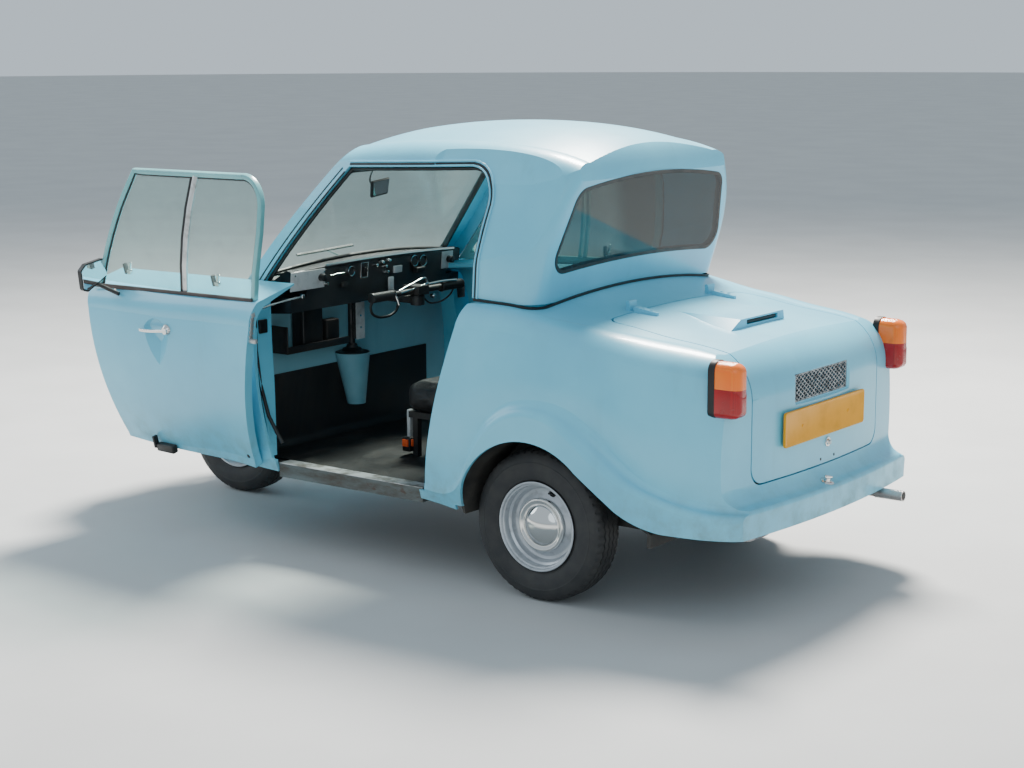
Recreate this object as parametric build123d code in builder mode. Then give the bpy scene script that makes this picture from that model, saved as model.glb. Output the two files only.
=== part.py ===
from build123d import *
from math import atan2, cos, radians, sin, tan
import os

os.makedirs("parts", exist_ok=True)

# Three wheeled single seat car, in millimetres, built around its rear axle:
# x forward, y to the car's left, z up from the ground, y = 0 on the car's centreline.
# Each finished piece is then moved so that the origin is under the middle of the whole part.
AXLE_X = -682.5
CENTRE_Y = -85

# Driving dimensions
WHEELBASE = 1850
TYRE_RADIUS = 247
TYRE_WIDTH = 134
TRACK_Y = 522
BODY_WALL = 14
CAB_WALL = 22
DOOR_WALL = 34
GAP = 6
SEAL = 12
WAIST_REAR = (34, 946)
WAIST_FRONT = (1290, 906)
FLOOR_Z = 290
PLATE_SIZE = (520, 110)
STEER_TOP = (1745, 0, 650)
STEER_FOOT = (1840, 0, 250)
TILLER_HUB = (962, 0, 862)
COVER_PIN = (-128, 0, 938)
COVER_HALF = 406
COVER_FRONT = -150
COVER_FOOT = 440

# Cross sections of the lower body, each mirrored in the centreline
# x, foot y, foot z, flare y, crest z, root y, root z, side y, side z, hip y, hip z, deck y, deck z, crown z
HULL = [
    (-830, 440, 262, 440, 352, 405, 396, 412, 560, 390, 730, 330, 776, 786),
    (-768, 490, 262, 492, 354, 456, 398, 462, 560, 432, 745, 350, 792, 804),
    (-720, 540, 262, 544, 356, 500, 400, 507, 560, 474, 755, 380, 806, 818),
    (-640, 590, 262, 595, 360, 554, 406, 562, 560, 526, 772, 420, 827, 840),
    (-520, 620, 262, 627, 384, 594, 426, 604, 562, 564, 790, 440, 850, 863),
    (-370, 640, 262, 650, 434, 616, 488, 628, 580, 584, 806, 455, 866, 883),
    (-240, 648, 262, 660, 508, 626, 600, 634, 670, 596, 828, 482, 884, 905),
    (-130, 652, 262, 664, 588, 634, 658, 635, 720, 604, 842, 500, 896, 918),
    (-20, 654, 262, 665, 616, 640, 668, 641, 725, 612, 856, 528, 914, 950),
    (100, 654, 262, 665, 582, 646, 634, 650, 700, 618, 866, 546, 934, 988),
    (205, 650, 262, 662, 462, 651, 506, 655, 640, 621, 866, 553, 941, 992),
    (268, 620, 262, 653, 350, 651, 376, 656, 600, 622, 865, 556, 945, 990),
    (430, 610, 280, 626, 320, 627, 344, 655, 600, 622, 862, 560, 948, 985),
    (800, 610, 280, 624, 320, 625, 344, 652, 600, 620, 848, 555, 936, 965),
    (1200, 597, 286, 611, 326, 612, 350, 632, 600, 596, 830, 520, 908, 934),
    (1500, 560, 296, 578, 334, 579, 356, 600, 590, 560, 775, 470, 846, 874),
    (1800, 505, 311, 520, 348, 521, 368, 542, 570, 508, 700, 415, 762, 790),
    (2000, 436, 338, 446, 372, 447, 390, 468, 550, 440, 652, 345, 706, 728),
    (2110, 350, 370, 357, 400, 358, 416, 378, 540, 352, 622, 268, 664, 682),
    (2184, 208, 418, 214, 440, 215, 452, 236, 530, 216, 590, 150, 618, 630),
]

# Cross sections of the cab above the waist, each mirrored in the centreline
# x, foot y, foot z, side y, side z, hip y, hip z, deck y, deck z, crown z
CAB = [
    (-130, 566, 900, 546, 1120, 464, 1306, 368, 1354, 1378),
    (0, 570, 900, 553, 1120, 478, 1328, 370, 1404, 1442),
    (200, 572, 900, 557, 1120, 488, 1346, 373, 1434, 1482),
    (500, 574, 900, 559, 1120, 492, 1350, 376, 1440, 1490),
    (800, 572, 890, 557, 1115, 488, 1342, 370, 1420, 1464),
    (1000, 568, 880, 552, 1110, 480, 1324, 363, 1390, 1424),
    (1350, 560, 870, 545, 1100, 468, 1290, 353, 1330, 1350),
]


def keep(piece, name):
    """Label a finished piece and write it, moved to the part's origin."""
    piece.part.label = name
    export_step(piece.part.moved(Location((AXLE_X, CENTRE_Y, 0))), f"parts/{name}.step")


def shoulder_point(start, end, bulge):
    """Middle point of an arc that bulges up and out from the chord between two points."""
    run = end[0] - start[0]
    rise = end[1] - start[1]
    return ((start[0] + end[0]) / 2 + rise * bulge, (start[1] + end[1]) / 2 - run * bulge)


def mirrored(x, runs, crown):
    """Face across the car at x from the runs of one side (start, point on the arc, end) and the crown."""
    top = runs[-1][2]
    with BuildSketch(Plane((x, 0, 0), x_dir=(0, 1, 0), z_dir=(1, 0, 0))) as face:
        with BuildLine():
            for start, through, end in runs:
                ThreePointArc(start, through, end)
            ThreePointArc(top, (0, crown), (-top[0], top[1]))
            for start, through, end in reversed(runs):
                ThreePointArc((-end[0], end[1]), (-through[0], through[1]), (-start[0], start[1]))
            Line((-runs[0][0][0], runs[0][0][1]), runs[0][0])
        make_face()
    return face.sketch


def hull_section(row, inset, drop):
    """One cross section of the lower body, drawn inside the skin by inset and lower by drop."""
    x, foot_y, foot_z, flare, crest_z, root_y, root_z, wide, z_wide, hip, z_hip, deck, z_deck, crown = row
    foot = (foot_y - inset, foot_z - drop)
    crest = (flare - inset, crest_z - inset / 2)
    root = (root_y - inset, root_z - inset / 2)
    middle = ((crest[0] + root[0]) / 2, (crest[1] + root[1]) / 2)
    swell = tan(atan2(crest[0] - root[0], root[1] - crest[1]) / 2) / 2
    side = (wide - inset, z_wide)
    haunch = (hip - inset, z_hip - inset / 3)
    edge = (deck - inset / 2, z_deck - inset)
    runs = [
        (foot, shoulder_point(foot, crest, -0.02), crest),
        (crest, shoulder_point(crest, middle, swell), middle),
        (middle, shoulder_point(middle, root, -swell), root),
        (root, side, haunch),
        (haunch, shoulder_point(haunch, edge, 0.17), edge),
    ]
    return mirrored(x, runs, crown - inset)


def cab_section(row, inset, drop):
    """One cross section of the cab, drawn inside the skin by inset and lower by drop."""
    x, low, z_low, wide, z_wide, hip, z_hip, deck, z_deck, crown = row
    foot = (low - inset - 0.3 * drop, z_low - drop)
    haunch = (hip - inset, z_hip - inset / 3)
    edge = (deck - inset / 2, z_deck - inset)
    runs = [
        (foot, (wide - inset, z_wide), haunch),
        (haunch, shoulder_point(haunch, edge, 0.17), edge),
    ]
    return mirrored(x, runs, crown - inset)


# Tail: the face, the ledge under it and the moulding's crest, all swept round one upright axis
TAIL_AXIS_X = 2900
TAIL_SWING = 14
TAIL_X = -700
CREST_X = -767


def hull(inset):
    """Whole lower body as a solid, inside the skin by inset."""
    drop = 8 if inset else 0
    lean = radians(TAIL_SWING)
    across = Plane((TAIL_AXIS_X, 0, 0), x_dir=(cos(lean), sin(lean), 0), z_dir=(sin(lean), -cos(lean), 0))
    face = TAIL_X + inset - TAIL_AXIS_X
    crest = CREST_X + inset - TAIL_AXIS_X
    deck = -555 - TAIL_AXIS_X
    beyond = -1200 - TAIL_AXIS_X
    with BuildPart() as form:
        for row in HULL:
            add(hull_section(row, inset, drop))
        loft()
        with BuildSketch(across):
            with BuildLine():
                Polyline(
                    (crest, 372),
                    (crest + 5, 200),
                    (beyond, 200),
                    (beyond, 1200),
                    (deck, 1200),
                    (deck, 859 - inset),
                )
                ThreePointArc((deck, 859 - inset), (face + 42, 806 - inset), (face, 692 - inset))
                Line((face, 692 - inset), (face, 444))
                ThreePointArc((face, 444), (face - 16, 405), (crest + 15, 388))
                ThreePointArc((crest + 15, 388), (crest + 4, 383), (crest, 372))
            make_face()
        revolve(
            axis=Axis((TAIL_AXIS_X, 0, 0), (0, 0, 1)),
            revolution_arc=-2 * TAIL_SWING,
            mode=Mode.SUBTRACT,
        )
    return form.part


# Plan of the cab's rear corners: height, rear panel x, half width
CAB_PLAN = [(800, 70, 578), (1120, -12, 554), (1300, -58, 500), (1400, -84, 432), (1520, -115, 396)]
CORNER_RADIUS = 64


def cab_plan(inset):
    """Block with the cab's raked rear panel and its rounded rear corners."""
    radius = CORNER_RADIUS - inset
    short = radius * (1 - cos(radians(45)))
    with BuildPart() as block:
        for z, rear, half in CAB_PLAN:
            x = rear + inset
            y = half - inset
            with BuildSketch(Plane.XY.offset(z)):
                with BuildLine():
                    Polyline((x + radius, y), (460, y + 26), (1500, y + 400), (1500, -y - 400))
                    Polyline((1500, -y - 400), (460, -y - 26), (x + radius, -y))
                    ThreePointArc((x + radius, -y), (x + short, -y + short), (x, -y + radius))
                    Line((x, -y + radius), (x, y - radius))
                    ThreePointArc((x, y - radius), (x + short, y - short), (x + radius, y))
                make_face()
        loft()
    return block.part


def cab(inset):
    """Whole cab above the waist as a solid, inside the skin by inset."""
    drop = 8 if inset else 0
    with BuildPart() as form:
        for row in CAB:
            add(cab_section(row, inset, drop))
        loft()
        with BuildSketch(Plane.XZ.offset(-900)):
            with BuildLine():
                Polyline((30, 840), (-66 + inset, 1305))
                ThreePointArc((-66 + inset, 1305), (-48 + inset, 1400 - inset), (10 + inset, 1466 - inset))
                Polyline(
                    (10 + inset, 1466 - inset),
                    (10 + inset, 1600),
                    (740 - inset, 1600),
                    (740 - inset, 1484 - inset),
                )
                ThreePointArc((740 - inset, 1484 - inset), (812 - inset, 1456 - inset), (868 - inset, 1411))
                Polyline((868 - inset, 1411), (1346 - inset, 840), (30, 840))
            make_face()
        extrude(amount=1800, mode=Mode.INTERSECT)
        add(cab_plan(inset), mode=Mode.INTERSECT)
    return form.part


def over_waist(rear_x, front_x):
    """Block above the waist joint between two stations."""
    slope = (WAIST_FRONT[1] - WAIST_REAR[1]) / (WAIST_FRONT[0] - WAIST_REAR[0])
    rear_z = WAIST_REAR[1] + (rear_x - WAIST_REAR[0]) * slope
    front_z = WAIST_REAR[1] + (front_x - WAIST_REAR[0]) * slope
    with BuildPart() as block:
        with BuildSketch(Plane.XZ.offset(-900)):
            with BuildLine():
                Polyline(
                    (rear_x, rear_z),
                    (front_x, front_z),
                    (front_x, 1600),
                    (rear_x, 1600),
                    (rear_x, rear_z),
                )
            make_face()
        extrude(amount=1800)
    return block.part


def door_outline(grow, y):
    """Outline of the door below the waist, seen from the side, drawn at y."""
    with BuildSketch(Plane.XZ.offset(-y)) as outline:
        with BuildLine():
            ThreePointArc((282, 938), (345, 690), (430, 318))
            Line((430, 318), (1112, 332))
            ThreePointArc((1112, 332), (1166, 633), (1200, 909))
            Line((1200, 909), (282, 938))
        make_face()
        if grow:
            offset(amount=grow)
    return outline.sketch


def window_outline(grow, y):
    """Outline of the door's window frame, seen from the side, drawn at y."""
    with BuildSketch(Plane.XZ.offset(-y)) as outline:
        with BuildLine():
            Line((282, 938), (236, 1235))
            ThreePointArc((236, 1235), (262, 1331), (350, 1362))
            Line((350, 1362), (850, 1340))
            Line((850, 1340), (1200, 909))
            Line((1200, 909), (282, 938))
        make_face()
        if grow:
            offset(amount=grow)
    return outline.sketch


def flank(outline, grow, side, inner=400, outer=900):
    """The outline carried through one side of the car: side is 1 for left, -1 for right."""
    with BuildPart() as prism:
        add(outline(grow, outer if side > 0 else -inner))
        extrude(amount=outer - inner, dir=(0, -1, 0))
    return prism.part


def cover_block(grow):
    """Block that holds the engine cover: round cornered in plan and seen from behind."""
    with BuildPart() as block:
        with BuildSketch(Plane.XY.offset(100)):
            with Locations(((COVER_FRONT + grow - 1000) / 2, 0)):
                RectangleRounded(1000 + COVER_FRONT + grow, 2 * (COVER_HALF + grow), 45)
        extrude(amount=1100)
        with BuildSketch(Plane.YZ.offset(-1000)):
            with Locations((0, (COVER_FOOT - grow + 1200) / 2)):
                RectangleRounded(2 * (COVER_HALF + grow), 1200 - COVER_FOOT + grow, 55)
        extrude(amount=1000, mode=Mode.INTERSECT)
    return block.part


HULL_SKIN = hull(0)
HULL_INNER = hull(BODY_WALL)
CAB_SKIN = cab(0)
CAB_INNER = cab(CAB_WALL)
HULL_SHELL = HULL_SKIN - HULL_INNER
SIDES = ((1, "left"), (-1, "right"))
SHAFT_UP = (Align.CENTER, Align.CENTER, Align.MIN)

# Wheel arch seen from the side: an arc over the wheel that runs off in a line to the rear
ARCH_CENTRE = (-5, 262)
ARCH_RADIUS = 272
ARCH_TAIL = (-440, 296)


def arch_outline(grow, y):
    """Outline of the wheel arch, seen from the side, drawn at y."""
    radius = ARCH_RADIUS + grow
    lean = radians(125)
    high = (ARCH_CENTRE[0] + radius * cos(lean), ARCH_CENTRE[1] + radius * sin(lean))
    with BuildSketch(Plane.XZ.offset(-y)) as outline:
        with BuildLine():
            Line((ARCH_CENTRE[0] + radius, 150), (ARCH_CENTRE[0] + radius, ARCH_CENTRE[1]))
            ThreePointArc(
                (ARCH_CENTRE[0] + radius, ARCH_CENTRE[1]),
                (ARCH_CENTRE[0] + radius * cos(radians(62)), ARCH_CENTRE[1] + radius * sin(radians(62))),
                high,
            )
            Line(high, (ARCH_TAIL[0] - grow, ARCH_TAIL[1]))
            Polyline(
                (ARCH_TAIL[0] - grow, ARCH_TAIL[1]),
                (ARCH_TAIL[0] - grow, 150),
                (ARCH_CENTRE[0] + radius, 150),
            )
        make_face()
    return outline.sketch


def wing_edge(grow, y):
    """Everything below the lower edge of a rear wing: round the wheel, then in an S to the tail."""
    x, z = ARCH_CENTRE
    lean = radians(134)
    top = (x + ARCH_RADIUS * cos(lean), z + ARCH_RADIUS * sin(lean))
    with BuildSketch(Plane.XZ.offset(-y)) as outline:
        with BuildLine():
            Polyline((300, 150), (300, 282), (x + ARCH_RADIUS - 3, 284), (x + ARCH_RADIUS, z + 30))
            ThreePointArc((x + ARCH_RADIUS, z + 30), (x + 100, z + 253), top)
            Line(top, (-336, 356))
            ThreePointArc((-336, 356), (-408, 323), (-492, 305))
            Polyline((-492, 305), (-700, 301), (-820, 301), (-820, 150), (300, 150))
        make_face()
    return outline.sketch


# Rear body: glass fibre moulding of the rear wings, deck and tail
with BuildPart() as rear_body:
    add(HULL_SHELL)
    with Locations((1450, 0, 700)):
        Box(2000, 2000, 1400, mode=Mode.SUBTRACT)
    add(over_waist(34, 500), mode=Mode.SUBTRACT)
    add(cover_block(5), mode=Mode.SUBTRACT)
    for side, name in SIDES:
        add(flank(door_outline, GAP, side), mode=Mode.SUBTRACT)
    add(flank(wing_edge, 0, 1, -900, 900), mode=Mode.SUBTRACT)
keep(rear_body, "rear_body")

# Nose body: glass fibre moulding of the scuttle, bonnet, front wings and door posts
LAMP_RADIUS = 89
LAMP_PLANES = [Plane((2035, side * 318, 592), z_dir=(1, side * 0.12, 0)) for side, name in SIDES]
with BuildPart() as nose_body:
    add(HULL_SHELL)
    with Locations((100, 0, 700)):
        Box(2000, 2000, 1400, mode=Mode.SUBTRACT)
    add(over_waist(1000, 1290), mode=Mode.SUBTRACT)
    for side, name in SIDES:
        add(flank(door_outline, GAP, side), mode=Mode.SUBTRACT)
    with Locations(*LAMP_PLANES):
        Cylinder(LAMP_RADIUS + 1, 300, mode=Mode.SUBTRACT)
keep(nose_body, "nose_body")

# Cab: roof, windscreen pillars and rear panel in one moulding
WINDSCREEN = Plane((1104, 0, 1130), x_dir=(0, 1, 0), z_dir=(0.767, 0, 0.642))
REAR_PANEL = Plane((-30, 0, 1185), x_dir=(0, -1, 0), z_dir=(-0.969, 0, -0.2475))


def windscreen_outline(grow):
    with BuildSketch(WINDSCREEN) as outline:
        with BuildLine():
            Polyline((-506, -262), (506, -262), (420, 270), (-420, 270), close=True)
        make_face()
        fillet(outline.vertices(), 55)
        if grow:
            offset(amount=grow)
    return outline.sketch


def rear_window_outline(grow):
    with BuildSketch(REAR_PANEL) as outline:
        with BuildLine():
            ThreePointArc((-510, -160), (0, -135), (510, -160))
            Line((510, -160), (430, 125))
            ThreePointArc((430, 125), (0, 160), (-430, 125))
            Line((-430, 125), (-510, -160))
        make_face()
        fillet(outline.vertices(), 62)
        if grow:
            offset(amount=grow)
    return outline.sketch


SCREENS = (
    (windscreen_outline, WINDSCREEN),
    (rear_window_outline, REAR_PANEL),
)

with BuildPart() as cab_shell:
    add(CAB_SKIN)
    add(CAB_INNER, mode=Mode.SUBTRACT)
    add(over_waist(-200, 1400), mode=Mode.INTERSECT)
    add(HULL_SKIN, mode=Mode.SUBTRACT)
    for side, name in SIDES:
        add(flank(window_outline, GAP, side), mode=Mode.SUBTRACT)
    for outline_at, plane in SCREENS:
        add(outline_at(0))
        extrude(amount=60, dir=plane.z_dir * -1, mode=Mode.SUBTRACT)
keep(cab_shell, "cab_shell")

# Windscreen and rear window: flat glass held in black rubber channels
with BuildPart() as screen_glass:
    for outline_at, plane in SCREENS:
        add(outline_at(-SEAL - 0.5))
        extrude(amount=6, dir=plane.z_dir * -1)
keep(screen_glass, "screen_glass")

with BuildPart() as screen_seals:
    for outline_at, plane in SCREENS:
        add(outline_at(-0.5))
        extrude(amount=20, dir=plane.z_dir * -1)
    for outline_at, plane in SCREENS:
        add(outline_at(-SEAL))
        extrude(amount=30, dir=plane.z_dir * -1, mode=Mode.SUBTRACT)
keep(screen_seals, "screen_seals")

# Waist bead: black strip in the corner between the cab and the rear body
with BuildPart() as waist_bead:
    add(cab(-7))
    add(hull(-7), mode=Mode.INTERSECT)
    add(CAB_SKIN, mode=Mode.SUBTRACT)
    add(HULL_SKIN, mode=Mode.SUBTRACT)
    with Locations((-210, 0, 950)):
        Box(960, 1400, 120, mode=Mode.INTERSECT)
keep(waist_bead, "waist_bead")

# Sills: worn box sections under the doors, each with its tread strip
with BuildPart() as sills:
    with Locations(*[(775, side * 572, 289) for side, name in SIDES]):
        Box(646, 56, 50)
keep(sills, "sills")

# Floor pan and bulkheads close the cabin between the two body mouldings
with BuildPart() as floor_pan:
    with Locations((793, 0, FLOOR_Z - 6)):
        Box(1072, 1086, 12)
    for side, name in SIDES:
        add(flank(arch_outline, 16, side, 427, 727), mode=Mode.SUBTRACT)
keep(floor_pan, "floor_pan")

with BuildPart() as front_bulkhead:
    add(HULL_INNER)
    with Locations((1337, 0, 596)):
        Box(14, 1400, 624, mode=Mode.INTERSECT)
keep(front_bulkhead, "front_bulkhead")

with BuildPart() as rear_bulkhead:
    with Locations((250, 0, 606)):
        Box(12, 1176, 632)
    with Locations((156, 0, 916)):
        Box(200, 1080, 12)
    add(HULL_INNER, mode=Mode.INTERSECT)
    for side, name in SIDES:
        add(flank(arch_outline, 16, side, 427, 727), mode=Mode.SUBTRACT)
keep(rear_bulkhead, "rear_bulkhead")

# Wheel wells: inner arches between each rear wheel and the engine bay
with BuildPart() as wheel_wells:
    for side, name in SIDES:
        add(flank(arch_outline, 13, side, 430, 680))
        add(flank(arch_outline, 1, side, 442, 740), mode=Mode.SUBTRACT)
    with Locations(*[(0, side * 436, TYRE_RADIUS) for side, name in SIDES]):
        Cylinder(45, 40, rotation=(90, 0, 0), mode=Mode.SUBTRACT)
    with Locations((0, 0, 660)):
        Box(1400, 1400, 900, mode=Mode.INTERSECT)
    add(HULL_INNER, mode=Mode.INTERSECT)
keep(wheel_wells, "wheel_wells")

# Chassis: two boxed rails under the floor, joined by cross members
RAIL_Y = 230
RAIL_Z = 244
with BuildPart() as chassis_frame:
    with Locations(*[(405, side * RAIL_Y, RAIL_Z) for side, name in SIDES]):
        Box(1870, 50, 60)
    with Locations((-505, 0, RAIL_Z), (340, 0, RAIL_Z), (1315, 0, RAIL_Z)):
        Box(50, 2 * RAIL_Y, 60)
keep(chassis_frame, "chassis_frame")

# Rear suspension: one trailing arm a side, with the stub axle its wheel turns on
ARM_PIVOT_X = 340
STUB_RADIUS = 14
HUB_BORE = STUB_RADIUS + 0.08
with BuildPart() as trailing_arms:
    for side, name in SIDES:
        with BuildSketch(Plane.XY.offset(226)):
            with BuildLine():
                Polyline(
                    (ARM_PIVOT_X + 25, side * 256),
                    (ARM_PIVOT_X + 25, side * 330),
                    (30, side * 424),
                    (-30, side * 424),
                    (-30, side * 390),
                    (ARM_PIVOT_X - 40, side * 256),
                    close=True,
                )
            make_face()
        extrude(amount=42)
        with Locations((0, side * 460, TYRE_RADIUS)):
            Cylinder(STUB_RADIUS, 100, rotation=(90, 0, 0))
keep(trailing_arms, "trailing_arms")


def tyre(x, y):
    """Cross ply tyre with a rounded shoulder, turned about its axle."""
    with BuildPart() as ring:
        with BuildSketch(Plane((x, y, TYRE_RADIUS))):
            with BuildLine():
                Line((139, -53), (139, 53))
                ThreePointArc((139, 53), (190, TYRE_WIDTH / 2), (232, 56))
                ThreePointArc((232, 56), (241, 51), (244, 42))
                ThreePointArc((244, 42), (TYRE_RADIUS, 0), (244, -42))
                ThreePointArc((244, -42), (241, -51), (232, -56))
                ThreePointArc((232, -56), (190, -TYRE_WIDTH / 2), (139, -53))
            make_face()
        revolve(axis=Axis((x, y, TYRE_RADIUS), (0, 1, 0)))
    return ring


def rim(x, y, side):
    """Pressed steel rim with its hub and brake drum behind the disc."""
    profile = (
        (HUB_BORE, 26), (60, 26), (96, 14), (120, 18), (128, 34), (131, 52), (137, 65), (146, 65),
        (146, 61), (138, 58), (134, 46), (134, -46), (138, -58), (146, -61), (146, -65), (137, -65),
        (131, -52), (128, -10), (96, 4), (90, -4), (90, -48), (HUB_BORE, -48),
    )
    with BuildPart() as wheel:
        with BuildSketch(Plane((x, y, TYRE_RADIUS))):
            with BuildLine():
                Polyline(*[(radius, side * out) for radius, out in profile], close=True)
            make_face()
        revolve(axis=Axis((x, y, TYRE_RADIUS), (0, 1, 0)))
    return wheel


CAP_RADIUS = 88
CAP_DOME = 165
CAP_TOP = 63


def hub_cap(x, y, side):
    """Domed chrome cap over the hub."""
    with BuildPart() as cap:
        with Locations((x, y + side * (CAP_TOP - CAP_DOME), TYRE_RADIUS)):
            Sphere(CAP_DOME)
        with Locations((x, y + side * 50, TYRE_RADIUS)):
            Cylinder(CAP_RADIUS, 46, rotation=(90, 0, 0), mode=Mode.INTERSECT)
        fillet(cap.edges().filter_by(GeomType.CIRCLE), 2)
    return cap


# Wheels: the same pressed wheel and tyre at each corner of the triangle
for side, name in SIDES:
    keep(tyre(0, side * TRACK_Y), f"{name}_rear_tyre")
    keep(rim(0, side * TRACK_Y, side), f"{name}_rear_rim")
    keep(hub_cap(0, side * TRACK_Y, side), f"{name}_rear_hub_cap")
keep(tyre(WHEELBASE, 0), "front_tyre")
keep(rim(WHEELBASE, 0, -1), "front_rim")

# Front fork: crown over the wheel and one leg down its left side to the stub axle
STEER_LEAN = (STEER_FOOT[0] - STEER_TOP[0]) / (STEER_TOP[2] - STEER_FOOT[2])
CROWN_Z = 504
CROWN_X = STEER_TOP[0] + (STEER_TOP[2] - CROWN_Z) * STEER_LEAN


def steer_plane(z):
    """Plane square to the steering axis where that axis passes height z."""
    return Plane((STEER_TOP[0] + (STEER_TOP[2] - z) * STEER_LEAN, 0, z), z_dir=(-STEER_LEAN, 0, 1))


with BuildPart() as front_fork:
    with BuildSketch(Plane.XY.offset(CROWN_Z)):
        with Locations((CROWN_X, 0)):
            Circle(42)
        with BuildLine():
            Polyline(
                (CROWN_X - 30, 0),
                (CROWN_X - 10, 112),
                (CROWN_X + 60, 112),
                (CROWN_X + 40, 0),
                close=True,
            )
        make_face()
    extrude(amount=22)
    with BuildSketch(Plane.XZ.offset(-90)):
        with BuildLine():
            Polyline(
                (CROWN_X - 10, CROWN_Z + 22),
                (CROWN_X + 60, CROWN_Z + 22),
                (WHEELBASE + 34, TYRE_RADIUS),
                (WHEELBASE + 12, TYRE_RADIUS - 34),
                (WHEELBASE - 30, TYRE_RADIUS - 10),
                close=True,
            )
        make_face()
    extrude(amount=-22)
    with Locations((WHEELBASE, 50, TYRE_RADIUS)):
        Cylinder(STUB_RADIUS, 110, rotation=(90, 0, 0))
    with Locations(steer_plane(CROWN_Z + 10)):
        Cylinder(STUB_RADIUS, 130, align=SHAFT_UP)
keep(front_fork, "front_fork")

# Steering head: the tube the fork turns in, on two booms from the bulkhead
with BuildPart() as steering_head:
    with Locations(steer_plane(CROWN_Z + 36)):
        Cylinder(32, 110, align=SHAFT_UP)
    for side, name in SIDES:
        with BuildSketch(Plane.XY.offset(560)):
            with BuildLine():
                Polyline(
                    (1345, side * 150),
                    (1345, side * 105),
                    (1740, side * 4),
                    (1765, side * 30),
                    close=True,
                )
            make_face()
        extrude(amount=44)
    with Locations(steer_plane(CROWN_Z)):
        Cylinder(HUB_BORE, 180, align=SHAFT_UP, mode=Mode.SUBTRACT)
keep(steering_head, "steering_head")

# Steering cone: tapered housing on the front bulkhead, with the steering column standing in it
COLUMN_X = 1284
COLUMN_RADIUS = 13
with BuildPart() as steering_cone:
    with BuildSketch(Plane.XY.offset(410)):
        with Locations((1277, -13)):
            Circle(34)
    with BuildSketch(Plane.XY.offset(606)):
        with Locations((1282, 0)):
            Circle(66)
    loft()
    with Locations((1830, 0, 500)):
        Box(1000, 400, 400, mode=Mode.SUBTRACT)
    with Locations((COLUMN_X, 0, 600)):
        Cylinder(COLUMN_RADIUS, 205, align=SHAFT_UP)
keep(steering_cone, "steering_cone")

# Dashboard: full width black fascia notched over the doors' inner ledges, with the tiller's arm
# and the bracket clamped to the column
DASH_HALF = 470
DASH_FOOT = 808
DASH_TOP = 968
DASH_LEDGE_Y = 392
ARM_Z = 828
with BuildPart() as dashboard:
    with BuildSketch(Plane.XZ.offset(-DASH_HALF)):
        with BuildLine():
            Polyline(
                (1262, 884),
                (1149, 884),
                (1149, 915),
                (1232, 915),
                (1232, 926),
                (1166, DASH_TOP),
                (1137, DASH_TOP - 7),
                (1149, DASH_FOOT + 10),
                (1262, DASH_FOOT),
                close=True,
            )
        make_face()
    extrude(amount=2 * DASH_HALF, dir=(0, -1, 0))
    with Locations(*[(1200, side * (DASH_LEDGE_Y + 50), 893) for side, name in SIDES]):
        Box(140, 100, 46, mode=Mode.SUBTRACT)
    with Locations((1256, 0, 740)):
        Box(6, 40, 160)
    with Locations((1262, 0, 704), (1262, 0, 776)):
        Box(20, 34, 16)
    with Locations((1060, 0, ARM_Z)):
        Box(206, 34, 24)
    with Locations((TILLER_HUB[0], 0, ARM_Z)):
        Cylinder(26, 34)
        Cylinder(HUB_BORE, 60, mode=Mode.SUBTRACT)
    with Locations((COLUMN_X, 0, 700)):
        Cylinder(COLUMN_RADIUS, 240, mode=Mode.SUBTRACT)
keep(dashboard, "dashboard")

# Tiller: cross bar with grips and its gear box, turning on an upright spindle in the arm
TILLER_HALF = 256
with BuildPart() as tiller:
    with Locations((TILLER_HUB[0], 0, 838)):
        Cylinder(STUB_RADIUS, 60)
    with Locations((TILLER_HUB[0] + 6, 0, TILLER_HUB[2] + 4)):
        Box(74, 58, 32)
    with Locations(TILLER_HUB):
        Cylinder(11, 2 * TILLER_HALF, rotation=(90, 0, 0))
    with Locations(*[(TILLER_HUB[0], side * (TILLER_HALF - 60), TILLER_HUB[2]) for side, name in SIDES]):
        Cylinder(16, 120, rotation=(90, 0, 0))
keep(tiller, "tiller")

# Seat: cushion and backrest on a steel frame bolted to the floor
with BuildPart() as seat_base:
    with Locations((668, 0, 515)):
        Box(420, 430, 110)
    fillet(seat_base.edges(), 22)
keep(seat_base, "seat_base")

with BuildPart() as seat_back:
    with Locations(Plane((430, 0, 765), z_dir=(-0.16, 0, 1))):
        Box(85, 420, 380)
    fillet(seat_back.edges(), 20)
keep(seat_back, "seat_back")

with BuildPart() as seat_frame:
    with Locations(*[(650, side * 170, 446) for side, name in SIDES]):
        Box(420, 22, 22)
    with Locations(*[(x, side * 170, 365) for x in (480, 830) for side, name in SIDES]):
        Box(22, 22, 150)
    with Locations((480, 0, 446), (830, 0, 446)):
        Box(22, 340, 22)
keep(seat_frame, "seat_frame")

# Engine: one plain block between the rails behind the axle line
with BuildPart() as engine_block:
    with Locations((-380, 0, 440)):
        Box(330, 440, 320)
keep(engine_block, "engine_block")

# Exhaust: silencer across the tail and its pipe out to the right
PIPE_RADIUS = 17.5
PIPE_Z = 281
with BuildPart() as exhaust:
    with Locations((-615, 120, 292)):
        Cylinder(52, 420, rotation=(90, 0, 0))
    with Locations((-615, -215, PIPE_Z)):
        Cylinder(15, 260, rotation=(90, 0, 0))
    with Locations((-615, -345, PIPE_Z)):
        Sphere(15)
    with Locations((-677, -345, PIPE_Z)):
        Cylinder(15, 124, rotation=(0, 90, 0))
    with Locations((-769, -345, PIPE_Z)):
        Cylinder(PIPE_RADIUS, 100, rotation=(0, 90, 0))
    with Locations((-799, -345, PIPE_Z)):
        Cylinder(PIPE_RADIUS - 3, 40, rotation=(0, 90, 0), mode=Mode.SUBTRACT)
keep(exhaust, "exhaust")

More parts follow.
